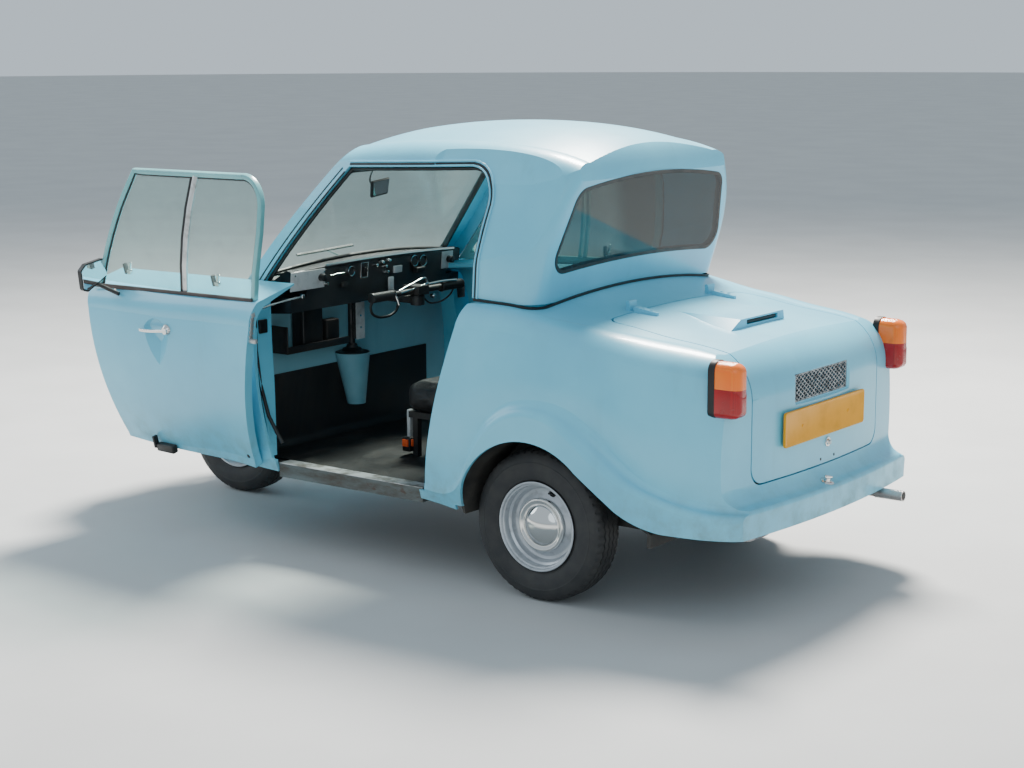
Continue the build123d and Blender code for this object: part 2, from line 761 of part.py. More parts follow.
# Tail lamps: tall lenses standing out at the rear corners
with BuildPart() as tail_lamps:
    for side, name in SIDES:
        with BuildSketch(Plane.YZ.offset(-719)):
            with Locations((side * 529, 753)):
                RectangleRounded(72, 172, 30)
        extrude(amount=70)
    add(HULL_SKIN, mode=Mode.SUBTRACT)
keep(tail_lamps, "tail_lamps")

# Head lamps and front indicators on the corners of the nose
with BuildPart() as head_lamps:
    with Locations(*LAMP_PLANES):
        Cylinder(LAMP_RADIUS, 96, align=SHAFT_UP)
keep(head_lamps, "head_lamps")

with BuildPart() as front_indicators:
    for side, name in SIDES:
        with Locations(Plane((2020, side * 405, 470), z_dir=(1, side * 0.5, 0))):
            Cylinder(30, 62, align=SHAFT_UP)
    add(HULL_SKIN, mode=Mode.SUBTRACT)
keep(front_indicators, "front_indicators")

# Engine cover: lifts on two strap hinges at its front edge, with a raised air scoop on top
# and a grille set back in a hooded recess above the number plate
SCOOP_X = -470
SCOOP_TOP = 897
GRILLE_Z = 705
GRILLE_SIZE = (340, 88)
STRAP_Y = 240
with BuildPart() as engine_cover:
    add(HULL_SHELL)
    add(cover_block(0), mode=Mode.INTERSECT)
    with BuildSketch(Plane.YZ.offset(SCOOP_X)):
        Polygon((-150, 850), (228, 850), (132, SCOOP_TOP), (-139, SCOOP_TOP), align=None)
    with BuildSketch(Plane.YZ.offset(-200)):
        Polygon((-150, 880), (150, 880), (132, 905), (-139, 905), align=None)
    loft()
    add(HULL_INNER, mode=Mode.SUBTRACT)
    with Locations((SCOOP_X, -4, 884)):
        Box(70, 196, 15, mode=Mode.SUBTRACT)
    with BuildSketch(Plane.YZ.offset(TAIL_X - 12)):
        with Locations((0, GRILLE_Z + 12)):
            RectangleRounded(GRILLE_SIZE[0] + 66, GRILLE_SIZE[1] + 56, 34)
    with BuildSketch(Plane.YZ.offset(TAIL_X + 10)):
        with Locations((0, GRILLE_Z)):
            RectangleRounded(GRILLE_SIZE[0] + 4, GRILLE_SIZE[1] + 4, 6)
    loft(mode=Mode.SUBTRACT)
    with Locations((TAIL_X, 0, GRILLE_Z)):
        Box(80, GRILLE_SIZE[0], GRILLE_SIZE[1], mode=Mode.SUBTRACT)
    for side, name in SIDES:
        with BuildSketch(Plane.XY.offset(870)):
            with Locations((COVER_PIN[0] - 19, side * STRAP_Y)):
                Polygon((0, 17), (0, -17), (-82, -6), (-82, 6), align=None)
        extrude(amount=68)
    with BuildSketch(Plane.XZ.offset(-900)):
        with BuildLine():
            Polyline((-100, 930), (-150, 925), (-260, 906), (-260, 1000), (-100, 1000), (-100, 930))
        make_face()
    extrude(amount=1800, dir=(0, -1, 0), mode=Mode.SUBTRACT)
    add(HULL_INNER, mode=Mode.SUBTRACT)
keep(engine_cover, "engine_cover")

# Grille: expanded metal in diamonds behind the recess, in a thin border
MESH_PITCH = 24
with BuildPart() as cover_grille:
    with BuildSketch(Plane.YZ.offset(TAIL_X + 11)):
        for lean in (33, -33):
            with Locations(*[(step * MESH_PITCH - 204, GRILLE_Z) for step in range(18)]):
                Rectangle(260, 3.4, rotation=lean)
        with Locations((0, GRILLE_Z)):
            Rectangle(GRILLE_SIZE[0] - 2, GRILLE_SIZE[1] - 2, mode=Mode.INTERSECT)
            for x in (-1, 1):
                with Locations((x * (GRILLE_SIZE[0] / 2 - 3), 0)):
                    Rectangle(4, GRILLE_SIZE[1] - 2)
                with Locations((0, x * (GRILLE_SIZE[1] / 2 - 3))):
                    Rectangle(GRILLE_SIZE[0] - 2, 4)
    extrude(amount=3)
keep(cover_grille, "cover_grille")

with BuildPart() as number_plate:
    with Locations((TAIL_X - 6, 0, 588)):
        Box(8, PLATE_SIZE[0], PLATE_SIZE[1])
keep(number_plate, "number_plate")

with BuildPart() as hinge_knuckles:
    with Locations(*[(COVER_PIN[0], side * STRAP_Y, COVER_PIN[2]) for side, name in SIDES]):
        Cylinder(7, 44, rotation=(90, 0, 0))
        Box(14, 40, 40, align=(Align.CENTER, Align.CENTER, Align.MAX))
    add(HULL_SKIN, mode=Mode.SUBTRACT)
keep(hinge_knuckles, "hinge_knuckles")

# Doors: skin, window frame and glass, built shut on each side of the car
FRAME_BAR = 27
OPEN_PIVOT = Vector(280, 600, 600)
OPEN_SHIFT = Vector(740, 100, -30)
DOOR_OPEN = (
    Location(OPEN_PIVOT + OPEN_SHIFT)
    * Location((0, 0, 0), (0, 0, 1), -3.0)
    * Location((0, 0, 0), (0, 1, 0), -0.7)
    * Location((0, 0, 0), (1, 0, 0), -15.2)
    * Location(OPEN_PIVOT * -1)
)
DOOR_BACK = hull(DOOR_WALL)
FRAME_FACE = cab(-2)
FRAME_BACK = cab(FRAME_BAR)
GLASS_FACE = cab(9)
GLASS_BACK = cab(14)

HANDLE = (792, 806)


def handle_recess(side):
    """Teardrop hollow in the door behind its handle."""
    x, z = HANDLE
    with BuildPart() as hollow:
        for y, share in ((660, 1.3), (616, 0.45)):
            with BuildSketch(Plane.XZ.offset(-side * y)):
                with BuildLine():
                    ThreePointArc((x - 92 * share, z), (x, z + 62 * share), (x + 92 * share, z))
                    ThreePointArc((x + 92 * share, z), (x + 50 * share, z - 74 * share), (x, z - 122 * share))
                    ThreePointArc((x, z - 122 * share), (x - 50 * share, z - 74 * share), (x - 92 * share, z))
                make_face()
        loft()
    return hollow.part


def divider(grow, y):
    """Outline of the two bars between the window panes, seen from the side, drawn at y."""
    with BuildSketch(Plane.XZ.offset(-y)) as outline:
        for x in (605, 627):
            with BuildLine():
                Polyline((x, 930), (x + 11, 930), (x - 57, 1368), (x - 68, 1368), close=True)
            make_face()
    return outline.sketch


for side, name in SIDES:
    with BuildPart() as door_skin:
        add(flank(door_outline, 0, side))
        add(HULL_SKIN, mode=Mode.INTERSECT)
        add(DOOR_BACK, mode=Mode.SUBTRACT)
        add(handle_recess(side), mode=Mode.SUBTRACT)
    with BuildPart() as door_frame:
        add(flank(window_outline, 0, side))
        add(flank(window_outline, -FRAME_BAR, side), mode=Mode.SUBTRACT)
        add(FRAME_FACE, mode=Mode.INTERSECT)
        add(FRAME_BACK, mode=Mode.SUBTRACT)
    with BuildPart() as door_glass:
        add(flank(window_outline, -FRAME_BAR - 1, side))
        add(GLASS_FACE, mode=Mode.INTERSECT)
        add(GLASS_BACK, mode=Mode.SUBTRACT)
    with BuildPart() as door_bars:
        add(flank(divider, 0, side))
        add(flank(window_outline, -FRAME_BAR + 2, side), mode=Mode.INTERSECT)
        add(GLASS_BACK, mode=Mode.INTERSECT)
        add(FRAME_BACK, mode=Mode.SUBTRACT)
    door_frame.part = door_frame.part + door_bars.part
    for piece, kind in ((door_skin, "skin"), (door_frame, "frame"), (door_glass, "glass")):
        if name == "left":
            piece.part = piece.part.moved(DOOR_OPEN)
        keep(piece, f"{name}_door_{kind}")

# Mirror on the front corner of the open left door
MIRROR_X = 1076
MIRROR_FOOT = Vector(990, 598, 903)
MIRROR_STEM = Vector(1082, 614, 940)
with BuildPart() as door_mirror:
    with BuildSketch(Plane.YZ.offset(MIRROR_X)) as mirror_outline:
        with BuildLine():
            Polyline((672, 1010), (645, 1026), (558, 1019), (558, 954), (662, 926), (682, 940), close=True)
        make_face()
        fillet(mirror_outline.vertices(), 12)
    extrude(amount=18)
    with Locations(Plane(MIRROR_FOOT, z_dir=MIRROR_STEM - MIRROR_FOOT)):
        Cylinder(7, (MIRROR_STEM - MIRROR_FOOT).length, align=SHAFT_UP)
    add(HULL_SKIN, mode=Mode.SUBTRACT)
    add(FRAME_FACE, mode=Mode.SUBTRACT)
door_mirror.part = door_mirror.part.moved(DOOR_OPEN)
keep(door_mirror, "door_mirror")
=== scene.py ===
import math
import bmesh
import bpy
from mathutils import Matrix, Vector
from mathutils.bvhtree import BVHTree


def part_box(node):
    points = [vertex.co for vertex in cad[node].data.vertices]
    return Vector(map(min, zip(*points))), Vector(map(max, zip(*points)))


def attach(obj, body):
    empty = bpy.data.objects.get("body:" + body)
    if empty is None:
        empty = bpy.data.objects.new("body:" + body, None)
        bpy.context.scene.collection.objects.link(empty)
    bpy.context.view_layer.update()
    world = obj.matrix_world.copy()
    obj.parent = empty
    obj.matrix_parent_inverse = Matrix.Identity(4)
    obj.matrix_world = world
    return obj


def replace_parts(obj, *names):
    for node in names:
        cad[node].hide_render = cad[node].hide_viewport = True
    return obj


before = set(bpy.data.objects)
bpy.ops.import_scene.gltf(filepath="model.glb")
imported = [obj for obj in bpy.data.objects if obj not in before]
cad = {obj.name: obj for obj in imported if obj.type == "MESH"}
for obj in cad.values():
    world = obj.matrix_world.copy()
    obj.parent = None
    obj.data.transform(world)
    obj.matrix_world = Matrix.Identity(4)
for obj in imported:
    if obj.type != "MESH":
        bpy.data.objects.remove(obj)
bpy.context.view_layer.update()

# The car stands on its three wheels, and every place is measured from the middle of its rear axle:
# forward, to the car's left, and up from the ground, in metres.
left_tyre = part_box("left_rear_tyre")
right_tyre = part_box("right_rear_tyre")
front_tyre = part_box("front_tyre")
AXLE_X = (left_tyre[0][0] + left_tyre[1][0]) / 2
CENTRE_Y = (left_tyre[1][1] + right_tyre[0][1]) / 2
TYRE_R = left_tyre[1][2] / 2
TRACK = (left_tyre[0][1] + left_tyre[1][1]) / 2 - CENTRE_Y
WHEELBASE = (front_tyre[0][0] + front_tyre[1][0]) / 2 - AXLE_X
HOME = Matrix.Translation((AXLE_X, CENTRE_Y, 0))
SIDES = (1, -1)


# Camera: it stands behind the car's left rear corner at head height and looks slightly down,
# through a long lens. Its yaw, pitch and roll are those of the photograph.
CAMERA_PLACE = (-3.645, 5.551, 1.842)
LENS = 70.31
YAW = math.radians(-53.03)
PITCH = math.radians(10.43)
ROLL = 0.0039
ahead = Vector((math.cos(PITCH) * math.cos(YAW), math.cos(PITCH) * math.sin(YAW), -math.sin(PITCH)))
level = Vector((math.sin(YAW), -math.cos(YAW), 0))
down = ahead.cross(level)
across = math.cos(ROLL) * level + math.sin(ROLL) * down
upward = math.sin(ROLL) * level - math.cos(ROLL) * down
camera = bpy.data.objects.new("camera", bpy.data.cameras.new("camera"))
camera.data.sensor_width = 36
camera.data.lens = LENS
camera.data.clip_end = 200
turned = Matrix((across, upward, -ahead)).transposed().to_4x4()
camera.matrix_world = HOME @ Matrix.Translation(CAMERA_PLACE) @ turned
bpy.context.scene.collection.objects.link(camera)
bpy.context.scene.camera = camera

# Light: a broad soft key high on the car's right, where the low sun stands, and a paler fill from
# the left and behind, under an even bright sky.
LIGHTS = (
    # name, place, aim, size, watts, colour
    ("key", (1.9, -3.3, 6.4), (0.0, 0, 0.6), 2.2, 2100, (1.0, 0.95, 0.88)),
    ("fill", (-3.4, 6.0, 3.4), (0.4, 0.3, 0.6), 5.0, 60, (0.80, 0.92, 1.0)),
    ("front", (6.5, 2.5, 3.6), (0.9, 0, 0.6), 4.0, 130, (0.86, 0.95, 1.0)),
)
for name, place, aim, size, watts, colour in LIGHTS:
    lamp = bpy.data.lights.new(name, "AREA")
    lamp.shape = "DISK"
    lamp.size = size
    lamp.energy = watts
    lamp.color = colour
    holder = bpy.data.objects.new(name, lamp)
    beam = (Vector(aim) - Vector(place)).to_track_quat("-Z", "Y").to_matrix().to_4x4()
    holder.matrix_world = HOME @ Matrix.Translation(place) @ beam
    bpy.context.scene.collection.objects.link(holder)
world = bpy.data.worlds.new("sky")
world.use_nodes = True
world.node_tree.nodes["Background"].inputs[0].default_value = (0.78, 0.90, 1.0, 1)
world.node_tree.nodes["Background"].inputs[1].default_value = 0.76
bpy.context.scene.world = world


# Chassis: two boxed steel rails with cross members and the rear trailing arms, brushed with
# black bitumen paint that holds road dirt and lets rust through at the edges.
# The body is bolted down to the rails, and each arm turns on a bolt through its bush.
class Wire:
    """One value in a material's nodes. Arithmetic on wires adds Math nodes."""

    def __init__(self, tree, socket=None):
        self.tree = tree
        self.socket = socket

    def node(self, kind, *sockets, out=0, **settings):
        """Add a node: its settings first, then (socket, value or wire) pairs."""
        made = self.tree.nodes.new("ShaderNode" + kind)
        for key, value in settings.items():
            setattr(made, key, value)
        for place, value in sockets:
            if isinstance(value, Wire):
                self.tree.links.new(value.socket, made.inputs[place])
            else:
                made.inputs[place].default_value = value
        return Wire(self.tree, made.outputs[out])

    def maths(self, operation, first, second):
        return self.node("Math", (0, first), (1, second), operation=operation)

    def __add__(self, other):
        return self.maths("ADD", self, other)

    __radd__ = __add__

    def __sub__(self, other):
        return self.maths("SUBTRACT", self, other)

    def __rsub__(self, other):
        return self.maths("SUBTRACT", other, self)

    def __mul__(self, other):
        return self.maths("MULTIPLY", self, other)

    __rmul__ = __mul__


def finish(name, **fixed):
    """A material with the fixed values set on its shader, and a wire to start its nodes from."""
    made = bpy.data.materials.new(name)
    made.use_nodes = True
    shader = made.node_tree.nodes["Principled BSDF"]
    for socket, value in fixed.items():
        shader.inputs[socket.replace("_", " ")].default_value = value
    return made, Wire(made.node_tree)


def feed(made, **wires):
    """Join wires to the sockets of a material's shader."""
    shader = made.node_tree.nodes["Principled BSDF"]
    for socket, wire in wires.items():
        made.node_tree.links.new(wire.socket, shader.inputs[socket.replace("_", " ")])
    return made


def spot(wire, axis):
    """How far along x (0), y (1) or z (2) of the whole scene the surface is, in metres."""
    return wire.node("SeparateXYZ", (0, wire.node("TexCoord", out=3)), out=axis)


def grain(wire, scale, detail=3.0, rough=0.5, squeeze=(1, 1, 1)):
    """Cloudy noise from 0 to 1, with features about 1/scale metres wide."""
    place = wire.node("VectorMath", (0, wire.node("TexCoord", out=3)), (1, squeeze), operation="MULTIPLY")
    sockets = ("Vector", place), ("Scale", scale), ("Detail", detail), ("Roughness", rough)
    return wire.node("TexNoise", *sockets)


def rise(wire, low, high):
    """0 below low, 1 above high, and smooth between."""
    return wire.node(
        "MapRange", ("Value", wire), ("From Min", low), ("From Max", high), interpolation_type="SMOOTHSTEP"
    )


def blend(mask, under, over):
    """Colour that goes from under to over as the mask goes from 0 to 1."""
    return mask.node("Mix", (0, mask), (6, under), (7, over), out=2, data_type="RGBA")


def bump(height, depth, strength=1.0, under=None):
    """Bumps of the given depth in metres, over other bumps if there are any."""
    pairs = [("Height", height), ("Distance", depth), ("Strength", strength)]
    if under:
        pairs.append(("Normal", under))
    return height.node("Bump", *pairs)


def tone(red, green, blue):
    """A colour given as it looks on a screen, from 0 to 255, in the shader's own units."""
    parts = (red / 255, green / 255, blue / 255)
    return (*[((part + 0.055) / 1.055) ** 2.4 if part > 0.04 else part / 12.92 for part in parts], 1.0)


def dress(made, *nodes):
    """Give pieces of the frame a material in place of their plain one."""
    for node in nodes:
        cad[node].data.materials.clear()
        cad[node].data.materials.append(made)


def fit(name, form, made, body="body", place=HOME, crease=35):
    """Turn a mesh drawn in the car's places into a smooth piece that rides a body."""
    mesh = bpy.data.meshes.new(name)
    bmesh.ops.recalc_face_normals(form, faces=form.faces)
    form.to_mesh(mesh)
    form.free()
    mesh.transform(place)
    if place.determinant() < 0:
        mesh.flip_normals()
    mesh.materials.append(made)
    mesh.shade_smooth()
    mesh.set_sharp_from_angle(angle=math.radians(crease))
    piece = bpy.data.objects.new(name, mesh)
    bpy.context.scene.collection.objects.link(piece)
    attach(piece, body)
    return piece


def spin(form, outline, middle, axis, steps=48, closed=False):
    """Turn an outline of (along, radius) points about an axis through the middle."""
    frame_of = Vector(axis).to_track_quat("Z", "Y").to_matrix()
    rings = []
    for along, radius in outline:
        count = steps if radius > 1e-6 else 1
        angles = [2 * math.pi * k / steps for k in range(count)]
        ring = [Vector((radius * math.cos(a), radius * math.sin(a), along)) for a in angles]
        rings.append([form.verts.new(Vector(middle) + frame_of @ point) for point in ring])
    for near, far in zip(rings, rings[1:] + (rings[:1] if closed else [])):
        for k in range(steps):
            corners = [near[k % len(near)], near[(k + 1) % len(near)]]
            corners += [far[(k + 1) % len(far)], far[k % len(far)]]
            face = [v for i, v in enumerate(corners) if v is not corners[i - 1]]
            if len(face) > 2:
                form.faces.new(face)
    return form


def hexhead(form, middle, axis, size=0.0085):
    """Hexagon bolt head on its washer, standing along the axis from the middle."""
    spin(form, ((0, 0), (0, size * 1.25), (0.0016, size * 1.25), (0.0016, size)), middle, axis, 20)
    spin(form, ((0.0016, size), (0.0062, size), (0.0075, size * 0.82), (0.0075, 0)), middle, axis, 6)


def black_paint(name, gloss, grit):
    made, wire = finish(name, IOR=1.45)
    dust = rise(grain(wire, 7.0, 6.0, 0.6), 0.35, 0.8)
    rust = rise(grain(wire, 22.0, 5.0, 0.7), 0.64, 0.74)
    coat = blend(dust * grit, tone(26, 27, 29), tone(104, 99, 90))
    coat = blend(rust * 0.5, coat, tone(94, 56, 36))
    lumps = bump(grain(wire, 160.0, 3.0), 0.0008, 0.6)
    return feed(made, Base_Color=coat, Roughness=gloss + dust * 0.2, Normal=lumps)


underseal = black_paint("underseal", 0.6, 0.5)
satin_black = black_paint("satin_black", 0.42, 0.25)
dress(underseal, "chassis_frame", "trailing_arms", "floor_pan", "wheel_wells")
RAIL_Y = 0.230
RAIL_FOOT = 0.214
ARM_BOLT_X = 0.340
ARM_BOLT_Y = 0.330
form = bmesh.new()
for side in SIDES:
    for x in (-0.42, -0.05, 0.42, 0.78, 1.12):
        hexhead(form, (x, side * RAIL_Y, RAIL_FOOT), (0, 0, -1))
    hexhead(form, (ARM_BOLT_X, side * ARM_BOLT_Y, TYRE_R), (0, side, 0), 0.011)
fit("body_bolts", form, satin_black)


# Wheels: cross ply tyres with four zigzag grooves round the tread, on pressed steel rims in
# silver paint. A rubber valve stands in a slot of each disc, and four nuts hold it to the hub.
GROOVES = (-0.033, -0.011, 0.011, 0.033)
GROOVE_DEPTH = 0.0045
TREAD_HALF = 0.047
PITCHES = 56


def join(form, rings, closed=False):
    """Skin over rings of points, either round to the first one again or capped at both ends."""
    for near, far in zip(rings, rings[1:] + (rings[:1] if closed else [])):
        for k in range(len(near)):
            form.faces.new((near[k - 1], near[k], far[k], far[k - 1]))
    if not closed:
        form.faces.new(rings[0])
        form.faces.new(rings[-1])
    return form


def tread_ring(turn_share):
    """Tread points (across, radius) from one shoulder to the other at a share of a full turn."""
    phase = turn_share * PITCHES % 1
    shift = 0.0032 * (4 * abs(phase - 0.5) - 1)
    notch = 0.0042 if phase < 0.3 else 0.0
    points = [(-TREAD_HALF - 0.004, TYRE_R - 0.0075 - notch), (-TREAD_HALF, TYRE_R - 0.0042 - notch)]
    for middle in GROOVES:
        for step, deep in ((-0.0030, 0), (-0.0018, GROOVE_DEPTH), (0.0018, GROOVE_DEPTH), (0.0030, 0)):
            reach = middle + shift + step
            points.append((reach, TYRE_R - 0.0035 * (reach / TREAD_HALF) ** 2 - deep))
    points += [(TREAD_HALF, TYRE_R - 0.0042 - notch), (TREAD_HALF + 0.004, TYRE_R - 0.0075 - notch)]
    return points


# One sidewall of the tyre, from the bead out to the shoulder: across, radius
SIDEWALL = (
    (0.0520, 0.1395), (0.0560, 0.1470), (0.0600, 0.1530), (0.0596, 0.1550), (0.0630, 0.1650),
    (0.0658, 0.1800), (0.0668, 0.1930), (0.0662, 0.2040), (0.0668, 0.2050), (0.0666, 0.2080),
    (0.0656, 0.2090), (0.0640, 0.2170), (0.0606, 0.2270), (0.0560, 0.2350),
)


def tyre(name, x, y, body):
    """Tyre mesh: each ring runs over the tread, down one side, under the beads and up the other."""
    form = bmesh.new()
    rings = []
    for k in range(PITCHES * 6):
        share = k / PITCHES / 6
        spoke = Vector((math.cos(2 * math.pi * share), 0, math.sin(2 * math.pi * share)))
        outline = [(-reach, r) for reach, r in SIDEWALL] + tread_ring(share)
        outline += [(reach, r) for reach, r in reversed(SIDEWALL)]
        rings.append([form.verts.new(Vector((x, y + a, TYRE_R)) + spoke * r) for a, r in outline])
    join(form, rings, closed=True)
    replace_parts(fit(name, form, tyre_rubber, body, crease=30), name.replace("_tread", ""))


def make_tyre_rubber():
    made, wire = finish("tyre_rubber", IOR=1.5)
    dust = rise(grain(wire, 16.0, 6.0, 0.6), 0.3, 0.85)
    film = rise(grain(wire, 3.0, 3.0), 0.35, 0.75)
    return feed(
        made,
        Base_Color=blend(dust * 0.5 + film * 0.12, tone(32, 33, 36), tone(84, 82, 78)),
        Roughness=0.56 + dust * 0.3,
        Normal=bump(grain(wire, 300.0, 4.0), 0.0003, 0.6),
    )


tyre_rubber = make_tyre_rubber()


def make_silver_paint():
    made, wire = finish("silver_paint", IOR=1.5)
    grime = rise(grain(wire, 26.0, 6.0, 0.65), 0.48, 0.8)
    return feed(
        made,
        Base_Color=blend(grime * 0.55, tone(190, 195, 200), tone(92, 84, 76)),
        Metallic=0.55 - grime * 0.4,
        Roughness=0.3 + grime * 0.35,
        Normal=bump(grain(wire, 500.0), 0.0001, 0.6),
    )


silver_paint = make_silver_paint()


def make_chrome(name, tint, dullness):
    made, wire = finish(name)
    pits = rise(grain(wire, 320.0, 4.0, 0.7), 0.68, 0.76)
    dull = rise(grain(wire, 18.0, 5.0, 0.6), 0.45, 0.8)
    return feed(
        made,
        Base_Color=blend(pits * 0.6, tint, tone(96, 74, 54)),
        Metallic=1 - pits * 0.5,
        Roughness=dullness + dull * 0.1 + pits * 0.3,
        Normal=bump(grain(wire, 30.0, 2.0), 0.0003, 0.15),
    )


chrome = make_chrome("chrome_plate", tone(214, 214, 212), 0.06)

# Rim from the disc's hub out to the rolled lip and back through the well: out, radius
RIM = (
    (0.0260, 0.0141), (0.0262, 0.0560), (0.0235, 0.0640), (0.0235, 0.0780), (0.0220, 0.0880),
    (0.0150, 0.0980), (0.0128, 0.1060), (0.0150, 0.1150), (0.0205, 0.1200), (0.0290, 0.1230),
    (0.0330, 0.1275), (0.0345, 0.1295), (0.0520, 0.1310), (0.0555, 0.1330), (0.0570, 0.1365),
    (0.0590, 0.1375), (0.0615, 0.1382), (0.0638, 0.1400), (0.0648, 0.1430), (0.0640, 0.1456),
    (0.0620, 0.1460), (0.0605, 0.1452), (0.0585, 0.1395), (0.0540, 0.1385), (0.0460, 0.1340),
    (-0.0460, 0.1340), (-0.0540, 0.1385), (-0.0585, 0.1395), (-0.0610, 0.1455), (-0.0640, 0.1456),
    (-0.0645, 0.1400), (-0.0600, 0.1365), (-0.0520, 0.1310), (-0.0100, 0.1280), (0.0040, 0.0960),
    (-0.0040, 0.0900), (-0.0480, 0.0900), (-0.0480, 0.0141),
)
NUT_CIRCLE = 0.047
NUT_FACE = 0.0255
VALVE_TURN = math.radians(74)
wheels = (
    # name, x, y, side that shows, body
    ("left_rear", 0, TRACK, 1, "left_rear_wheel"),
    ("right_rear", 0, -TRACK, -1, "right_rear_wheel"),
    ("front", WHEELBASE, 0, -1, "front_wheel"),
)
for name, x, y, side, body in wheels:
    tyre(name + "_tyre_tread", x, y, body)
    form = bmesh.new()
    spin(form, RIM, (x, y, TYRE_R), (0, side, 0), 96, closed=True)
    hub = Vector((x, y, TYRE_R))
    for k in range(4):
        lean = math.radians(45 + 90 * k)
        nut = Vector((NUT_CIRCLE * math.cos(lean), side * NUT_FACE, NUT_CIRCLE * math.sin(lean)))
        hexhead(form, hub + nut, (0, side, 0))
    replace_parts(fit(name + "_rim_steel", form, silver_paint, body, crease=28), name + "_rim")
    spoke = Vector((-math.cos(VALVE_TURN), 0, math.sin(VALVE_TURN)))
    form = bmesh.new()
    foot = hub + spoke * 0.1085 + Vector((0, side * 0.0135, 0))
    spin(form, ((0, 0.0135), (0.0022, 0.0128), (0.0026, 0.0085), (0.001, 0.0075)), foot, (0, side, 0), 24)
    stem = ((0, 0.0075), (0.002, 0.0062), (0.014, 0.0040), (0.016, 0.0036), (0.024, 0.0034), (0.0255, 0))
    spin(form, stem, foot, Vector((0, side, 0)) + spoke * 0.15, 20)
    fit(name + "_valve", form, satin_black, body)

# Hub caps: chromed steel pressings with a rolled edge and a hollow ring round a shallow dome,
# sprung on to the rims of the two rear wheels.
CAP_EDGE = (
    (0.0270, 0.0860), (0.0300, 0.0880), (0.0345, 0.0878), (0.0385, 0.0860), (0.0408, 0.0825),
    (0.0405, 0.0790), (0.0378, 0.0740), (0.0360, 0.0690), (0.0366, 0.0655), (0.0395, 0.0640),
)
DOME_R = 0.0625
DOME_FOOT = 0.0410
DOME_TOP = 0.0628
ball = (DOME_R ** 2 + (DOME_TOP - DOME_FOOT) ** 2) / 2 / (DOME_TOP - DOME_FOOT)
dome = []
for k in range(13):
    radius = DOME_R * math.cos(math.pi / 2 * k / 12)
    dome.append((DOME_TOP - ball + math.sqrt(ball ** 2 - radius ** 2), radius if k < 12 else 0))
for name, x, y, side, body in wheels[:2]:
    form = spin(bmesh.new(), [*CAP_EDGE, *dome], (x, y, TYRE_R), (0, side, 0), 128)
    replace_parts(fit(name + "_cap_chrome", form, chrome, body, crease=60), name + "_hub_cap")


# Steering head and fork: welded steel tube in satin black. The front wheel's axle comes through
# the fork's one leg and is held there by a nut.
AXLE_NUT = (WHEELBASE, 0.112, TYRE_R)
dress(satin_black, "front_fork", "steering_head")
form = bmesh.new()
hexhead(form, AXLE_NUT, (0, 1, 0), 0.014)
spin(form, ((0.007, 0.0075), (0.017, 0.0075), (0.018, 0)), AXLE_NUT, (0, 1, 0), 24)
fit("axle_nut", form, satin_black, "fork")


# Engine: a bare grey alloy block with oily grime. The exhaust is heat stained steel, with two
# clamp bands round the silencer and a saddle clamp where the pipe enters it.
def oily_alloy():
    made, wire = finish("oily_alloy", IOR=1.45)
    oil = rise(grain(wire, 11.0, 6.0, 0.65), 0.42, 0.7)
    return feed(
        made,
        Base_Color=blend(oil, tone(120, 122, 122), tone(40, 36, 31)),
        Metallic=0.8 - oil * 0.7,
        Roughness=0.42 + oil * 0.2,
        Normal=bump(grain(wire, 220.0), 0.0006, 0.6),
    )


def exhaust_steel():
    made, wire = finish("exhaust_steel")
    rust = rise(grain(wire, 26.0, 6.0, 0.7), 0.44, 0.62)
    clean = 1 - rise(spot(wire, 0), AXLE_X - 0.80, AXLE_X - 0.70)
    rust = rust * (1 - clean * 0.75)
    return feed(
        made,
        Base_Color=blend(rust, tone(214, 212, 210), tone(110, 78, 60)),
        Metallic=0.85 - rust * 0.75,
        Roughness=0.34 + rust * 0.45,
        Normal=bump(grain(wire, 260.0, 4.0), 0.0006, 0.6),
    )


dress(oily_alloy(), "engine_block")
stained_steel = exhaust_steel()
dress(stained_steel, "exhaust")
CLAMPS = (
    # y, z, half width, inner and outer radius, steps
    (-0.02, 0.292, 0.011, 0.052, 0.0536, 64),
    (0.26, 0.292, 0.011, 0.052, 0.0536, 64),
    (-0.12, 0.281, 0.006, 0.015, 0.018, 32),
)
form = bmesh.new()
for y, z, half, inner, outer, steps in CLAMPS:
    band = ((-half, inner), (-half, outer), (half, outer), (half, inner))
    spin(form, band, (-0.615, y, z), (0, 1, 0), steps)
fit("silencer_bands", form, stained_steel)


# Body: hand laid glass fibre mouldings that meet at the waist, in one pale blue enamel dulled by
# years outdoors. It has orange peel, soft ripples, faint streaks, small chips and dirt low down.
def body_enamel(name, light, dark, dirt=1.0):
    made, wire = finish(name, IOR=1.5, Coat_Roughness=0.1)
    cloud = grain(wire, 2.2, 4.0, 0.55)
    height = spot(wire, 2)
    paint = blend(rise(cloud, 0.3, 0.7), dark, light)
    low = (1 - rise(height, 0.27, 0.50)) * rise(grain(wire, 14.0, 6.0, 0.65), 0.36, 0.78) * dirt
    streaks = rise(grain(wire, 9.0, 5.0, 0.6, (1, 1, 0.12)), 0.56, 0.8) * 0.3
    paint = blend(streaks, paint, tone(104, 166, 186))
    paint = blend(low * 0.6, paint, tone(121, 127, 118))
    specks = rise(grain(wire, 110.0, 2.0, 0.5), 0.74, 0.79) * rise(grain(wire, 7.0), 0.5, 0.72)
    paint = blend(specks * 0.55, paint, tone(84, 98, 96))
    ripple = bump(grain(wire, 7.0, 2.0), 0.0022, 0.3)
    surface = bump(grain(wire, 420.0, 2.0), 0.00012, 0.4, ripple)
    rough = 0.3 + cloud * 0.1 + low * 0.35 + specks * 0.3
    return feed(made, Base_Color=paint, Roughness=rough, Coat_Weight=0.3 - low * 0.3, Normal=surface)


